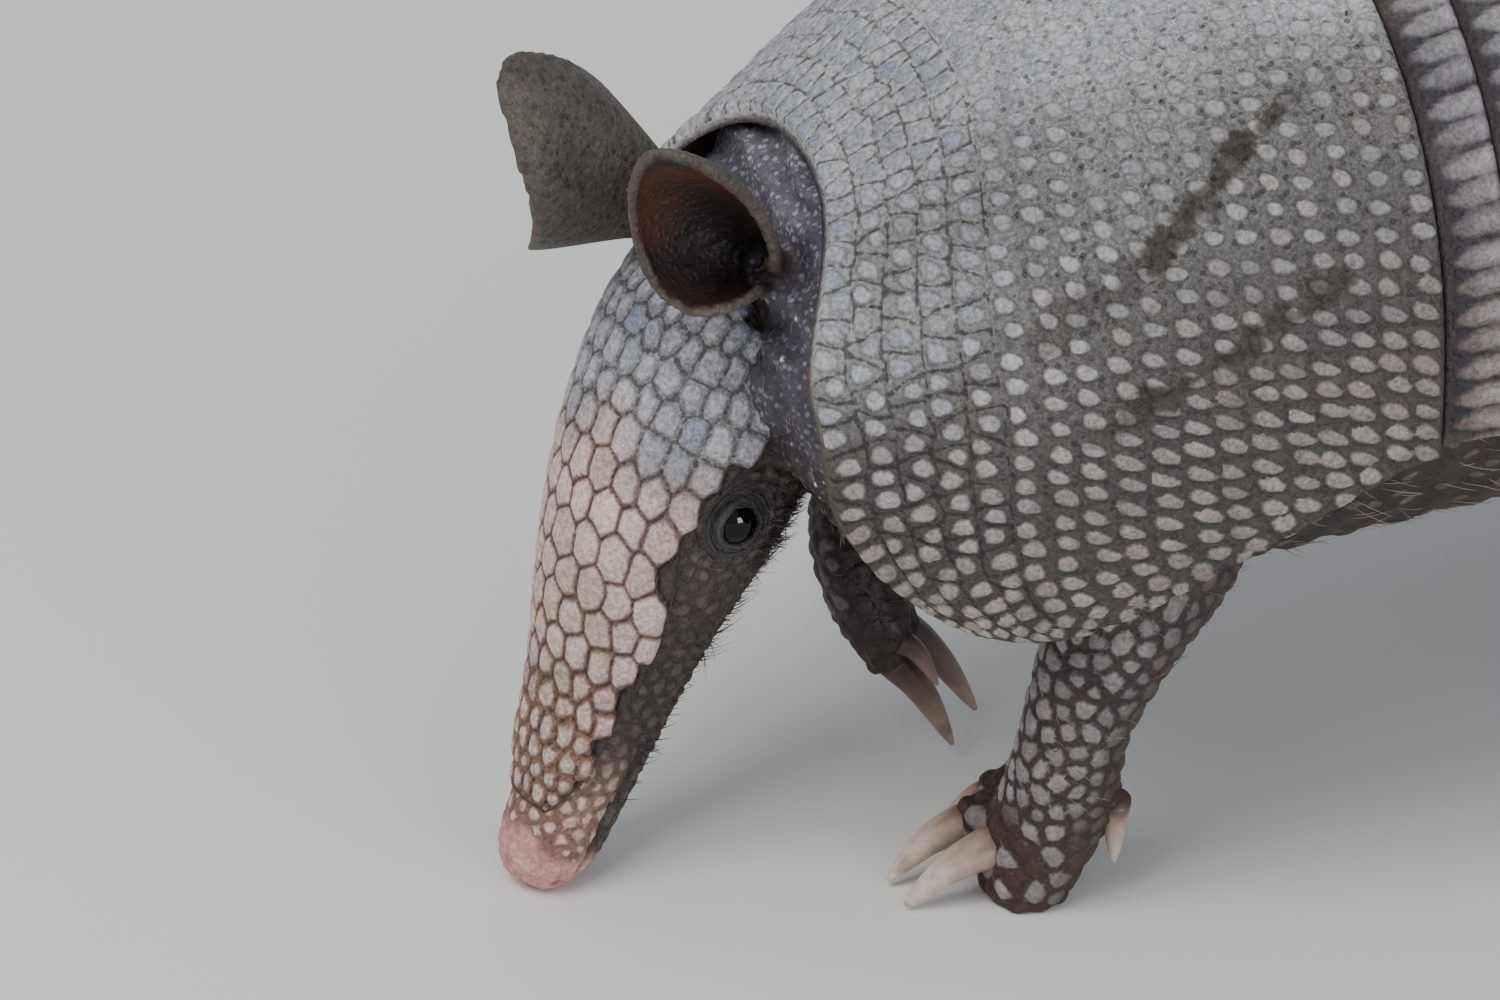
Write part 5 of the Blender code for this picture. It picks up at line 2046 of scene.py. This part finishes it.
class Hairs:
    """Sparse coarse hairs, each a thin mesh cone that lies along the body."""

    steps = 5

    def __init__(self, marks: Marks, skin: Object) -> None:
        """Reads the skin they grow from.

        Args:
            marks: The skin's zones.
            skin: The skin itself.
        """
        self.marks, self.points = marks, marks.points
        self.ways = read_rows(skin.data.vertex_normals, "vector")
        self.order = chance(np.arange(len(self.points)), 11)

    def zones(self) -> dict[str, Points]:
        """Finds where each growth stands.

        Returns:
            True for each point of the skin in it.
        """
        m, p = self.marks, self.points
        turn, head = np.abs(m.turn), m.head > 0.6
        seen = ~Skin.hidden(p)
        return {
            "jaw": head & (turn > 104) & (turn < 140) & (m.along > 14) & (m.along < 78),
            "throat": head & (turn > 124) & (m.along > 40) & (m.along < 96),
            "cheek": head & (turn > 76) & (turn < 118) & (m.along > 40) & (m.along < 92),
            "neck": (m.neck > 0.6) & seen,
            "belly": (m.belly > 0.6) & seen & (p[:, 1] > 62) & (self.ways[:, 2] < 0.35),
            "legs": (m.leg > 0.6) & seen & (p[:, 2] > 14),
        }

    def build(self) -> Object:
        """Makes the hairs.

        Returns:
            One mesh with every hair, each on its own patch of the OFBake map.
        """
        points, tints, places = [], [], []
        for name, found in self.zones().items():
            tuft = TUFTS[name]
            numbers = np.nonzero(found)[0]
            roots = numbers[np.argsort(self.order[numbers])[:tuft.count]]
            rings, share = self.strands(roots, tuft)
            points.append(rings.reshape(-1, 3))
            luck = chance(roots, 21)[:, None]
            tint = mix(tuft.root, tuft.tip, np.repeat(share[None], len(roots), 0).ravel())
            tints.append(tint * (0.7 + 0.6 * np.repeat(luck, len(share), 0)))
            places.append(self.patches(roots, len(share)))
        points, tints, places = np.vstack(points), np.vstack(tints), np.vstack(places)
        faces = self.faces(len(points) // (self.steps * 3 + 1))
        obj = make_object("coarse_hairs", points, faces, tints, Finish.HAIR)
        layer = obj.data.uv_layers.new(name="OFBake")
        loops = np.empty(len(obj.data.loops), np.int32)
        obj.data.loops.foreach_get("vertex_index", loops)
        layer.data.foreach_set("uv", places[loops].astype(np.float32).ravel())
        return obj

    def strands(self, roots: Points, tuft: Tuft) -> tuple[Points, Points]:
        """Places the hairs' points: rings of three and a tip.

        Args:
            roots: The skin's points they grow from.
            tuft: Their growth.

        Returns:
            Hairs by points by x, y and z, and each point's share of the length.
        """
        at, out = self.points[roots], self.ways[roots]
        sway = np.column_stack([chance(roots, k) - 0.5 for k in (12, 13, 14)])
        lie = np.array((0.0, 1.0, -0.35)) + sway * 0.9
        lie = lie - out * np.sum(lie * out, axis=1)[:, None]
        lie /= np.linalg.norm(lie, axis=1)[:, None]
        side = np.cross(out, lie)
        length = tuft.length[0] + (tuft.length[1] - tuft.length[0]) * chance(roots, 15)
        bend = (chance(roots, 16) - 0.5) * 0.5
        rings, shares = [], []
        for step in range(self.steps + 1):
            share = step / self.steps
            lift = tuft.rise * share * (1.25 - 0.45 * share)
            middle = (at - out * 0.15 + lie * (length * share)[:, None] + out * (length * lift)[:, None]
                      + side * (length * bend * share**2)[:, None])
            radius = tuft.radius * (1 - 0.75 * share)
            for corner in range(3 if step < self.steps else 0):
                a = corner * 2 * math.pi / 3
                rings.append(middle + side * (radius * math.cos(a)) + out * (radius * math.sin(a)))
                shares.append(share)
        rings.append(middle)
        shares.append(1.0)
        made = np.stack(rings, axis=1)
        made[..., 2] = np.maximum(made[..., 2], 0.05)
        return made, np.array(shares)

    def patches(self, roots: Points, count: int) -> Points:
        """Gives each hair a small patch at its root's place on the skin unrolled round the body.

        Args:
            roots: The skin's points they grow from.
            count: Points in one hair.

        Returns:
            One pair of map coordinates for each point.
        """
        p = self.points[roots]
        row = curve(BODY, np.clip(p[:, 1], 20, 312))
        turn = np.arctan2(p[:, 0] - row[:, 0], p[:, 2] - row[:, 1]) / (2 * math.pi) + 0.5
        place = np.column_stack([0.02 + 0.96 * turn, 0.02 + 0.96 * np.clip((p[:, 1] + 12) / 330, 0, 1)])
        spread = np.array([(0.0015 * math.cos(k), 0.0015 * math.sin(k)) for k in range(count)])
        return (place[:, None] + spread[None]).reshape(-1, 2)

    def faces(self, hairs: int) -> list:
        """Lists the hairs' faces.

        Args:
            hairs: How many hairs.

        Returns:
            Lists of point numbers.
        """
        size = self.steps * 3 + 1
        one = [[2, 1, 0]]
        for step in range(self.steps - 1):
            for corner in range(3):
                a, b = step * 3 + corner, step * 3 + (corner + 1) % 3
                one.append([a, b, b + 3, a + 3])
        for corner in range(3):
            one.append([size - 4 + corner, size - 4 + (corner + 1) % 3, size - 1])
        made = []
        for hair in range(hairs):
            made += [[v + hair * size for v in face] for face in one]
        return made


@dataclass(frozen=True)
class Studio:
    """The camera, the lights and a plain pale floor.

    Attributes:
        azimuth: Where the camera stands, in degrees.
        elevation: How steeply it looks down.
        distance: Its distance from the left eye, in metres.
        lens: Its focal length in millimetres.
        middle: The left eye's place off the view's middle, in shares of its width.
    """

    azimuth: float = 71.0
    elevation: float = 30.0
    distance: float = 1.087
    lens: float = 180.0
    middle: tuple[float, float] = (-13 / 1500, -20 / 1500)

    def camera(self) -> None:
        """Places the camera."""
        a, e = math.radians(self.azimuth), math.radians(self.elevation)
        back = np.array((math.sin(a) * math.cos(e), -math.cos(a) * math.cos(e), math.sin(e)))
        right = np.array((math.cos(a), math.sin(a), 0.0))
        up = np.cross(back, right)
        eye = PLACE(from_head((17, 25.3, 62.3 - NOSE[2]))[0])[0]
        wide = 36 / self.lens * self.distance
        place = eye + back * self.distance - right * (self.middle[0] * wide) - up * (self.middle[1] * wide)
        data = bpy.data.cameras.new("camera")
        data.lens, data.sensor_width = self.lens, 36.0
        camera = bpy.data.objects.new("camera", data)
        camera.matrix_world = Matrix([
            (right[0], up[0], back[0], place[0]), (right[1], up[1], back[1], place[1]),
            (right[2], up[2], back[2], place[2]), (0, 0, 0, 1),
        ])
        bpy.context.scene.collection.objects.link(camera)
        bpy.context.scene.camera = camera

    def light(self, name: str, place: tuple[float, float, float], size: float, power: float,
              warmth: str) -> None:
        """Adds a soft light that points at the animal.

        Args:
            name: The light's name.
            place: Where it hangs, in metres.
            size: How wide it is.
            power: Its power in watts.
            warmth: Its colour.
        """
        data = bpy.data.lights.new(name, "AREA")
        data.size, data.energy, data.color = size, power, srgb(warmth)
        lamp = bpy.data.objects.new(name, data)
        lamp.location = place
        lamp.rotation_euler = (Vector((0, -0.15, 0.08)) - Vector(place)).to_track_quat("-Z", "Y").to_euler()
        lamp.visible_glossy, lamp.visible_diffuse = name == "catch", name != "catch"
        bpy.context.scene.collection.objects.link(lamp)

    def build(self) -> None:
        """Sets up the floor, the light and the camera."""
        bpy.ops.mesh.primitive_plane_add(size=6.0, location=(0, 0, 0))
        floor = bpy.context.object
        floor.name = "floor"
        floor.data.transform(Matrix.Translation((0, 0, -0.0002)))
        paint(floor.data, np.tile(srgb("E8E7E4"), (4, 1)))
        floor.data.materials.append(MATERIALS[Finish.FLOOR])
        world = bpy.data.worlds.new("studio")
        world.use_nodes = True
        world.node_tree.nodes["Background"].inputs["Color"].default_value = (*srgb("DCE2EA"), 1)
        world.node_tree.nodes["Background"].inputs["Strength"].default_value = 0.72
        bpy.context.scene.world = world
        self.light("key", (0.5, -1.2, 1.7), 1.2, 24, "FFFDF8")
        self.light("fill", (1.4, 0.6, 0.9), 1.4, 7, "F4F8FF")
        self.light("catch", (1.17, 0.0, 0.3), 0.4, 11, "FFFFFF")
        self.camera()


def fit(piece: Object, slot: str, *nodes: str) -> None:
    """Fits a piece over the frame's nodes and reports it.

    Args:
        piece: The piece.
        slot: Its material slot; not used.
        nodes: The nodes it stands for.
    """
    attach(piece, "root")
    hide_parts(*nodes)
    log.info("%s: %d faces", piece.name, len(piece.data.polygons))


def main() -> None:
    """Builds every piece over the frame."""
    shoulder = Shield(
        "shoulder_shield", Pattern(18, 4.0, 0.06, 5.0, 3.3, 1.3, 1.2), (177, 513, 8),
        shoulder_front, lambda share: SHIELD_REAR - BAND_GAP, BAND_FLARE)
    rump = Shield(
        "rump_shield", Pattern(26, 4.8, 0.1, 2.0, 3.6, 1.6, 1.45), (209, 433, 8),
        lambda share: RUMP_FRONT, rump_rear, 0.0)
    for shield in (shoulder, rump):
        fit(shield.build(), "armour", shield.node)
    for number in range(1, BANDS + 1):
        fit(Band(number).build(), "armour", f"band_{number}")
    fit(FaceArmour().build(), "face_armour", "head_shield")
    fit(TailArmour().build(), "tail_armour", "tail_root", "tail_middle", "tail_end", "tail_tip")
    skin, marks = Skin().build()
    fit(skin, "skin", *FLESH_NODES)
    for side, node in ((1, "eye_left"), (-1, "eye_right")):
        fit(Eye(side).build(), "eyes", node)
    for paw in PAWS:
        fit(paw.build(), "claws", *(f"{paw.name}_claw_{digit[0]}" for digit in paw.digits))
    hairs = Hairs(marks, skin).build()
    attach(hairs, "root")
    log.info("%s: %d faces", hairs.name, len(hairs.data.polygons))
    Studio().build()


if __name__ == "__main__":
    logging.basicConfig(level=logging.INFO)
    main()
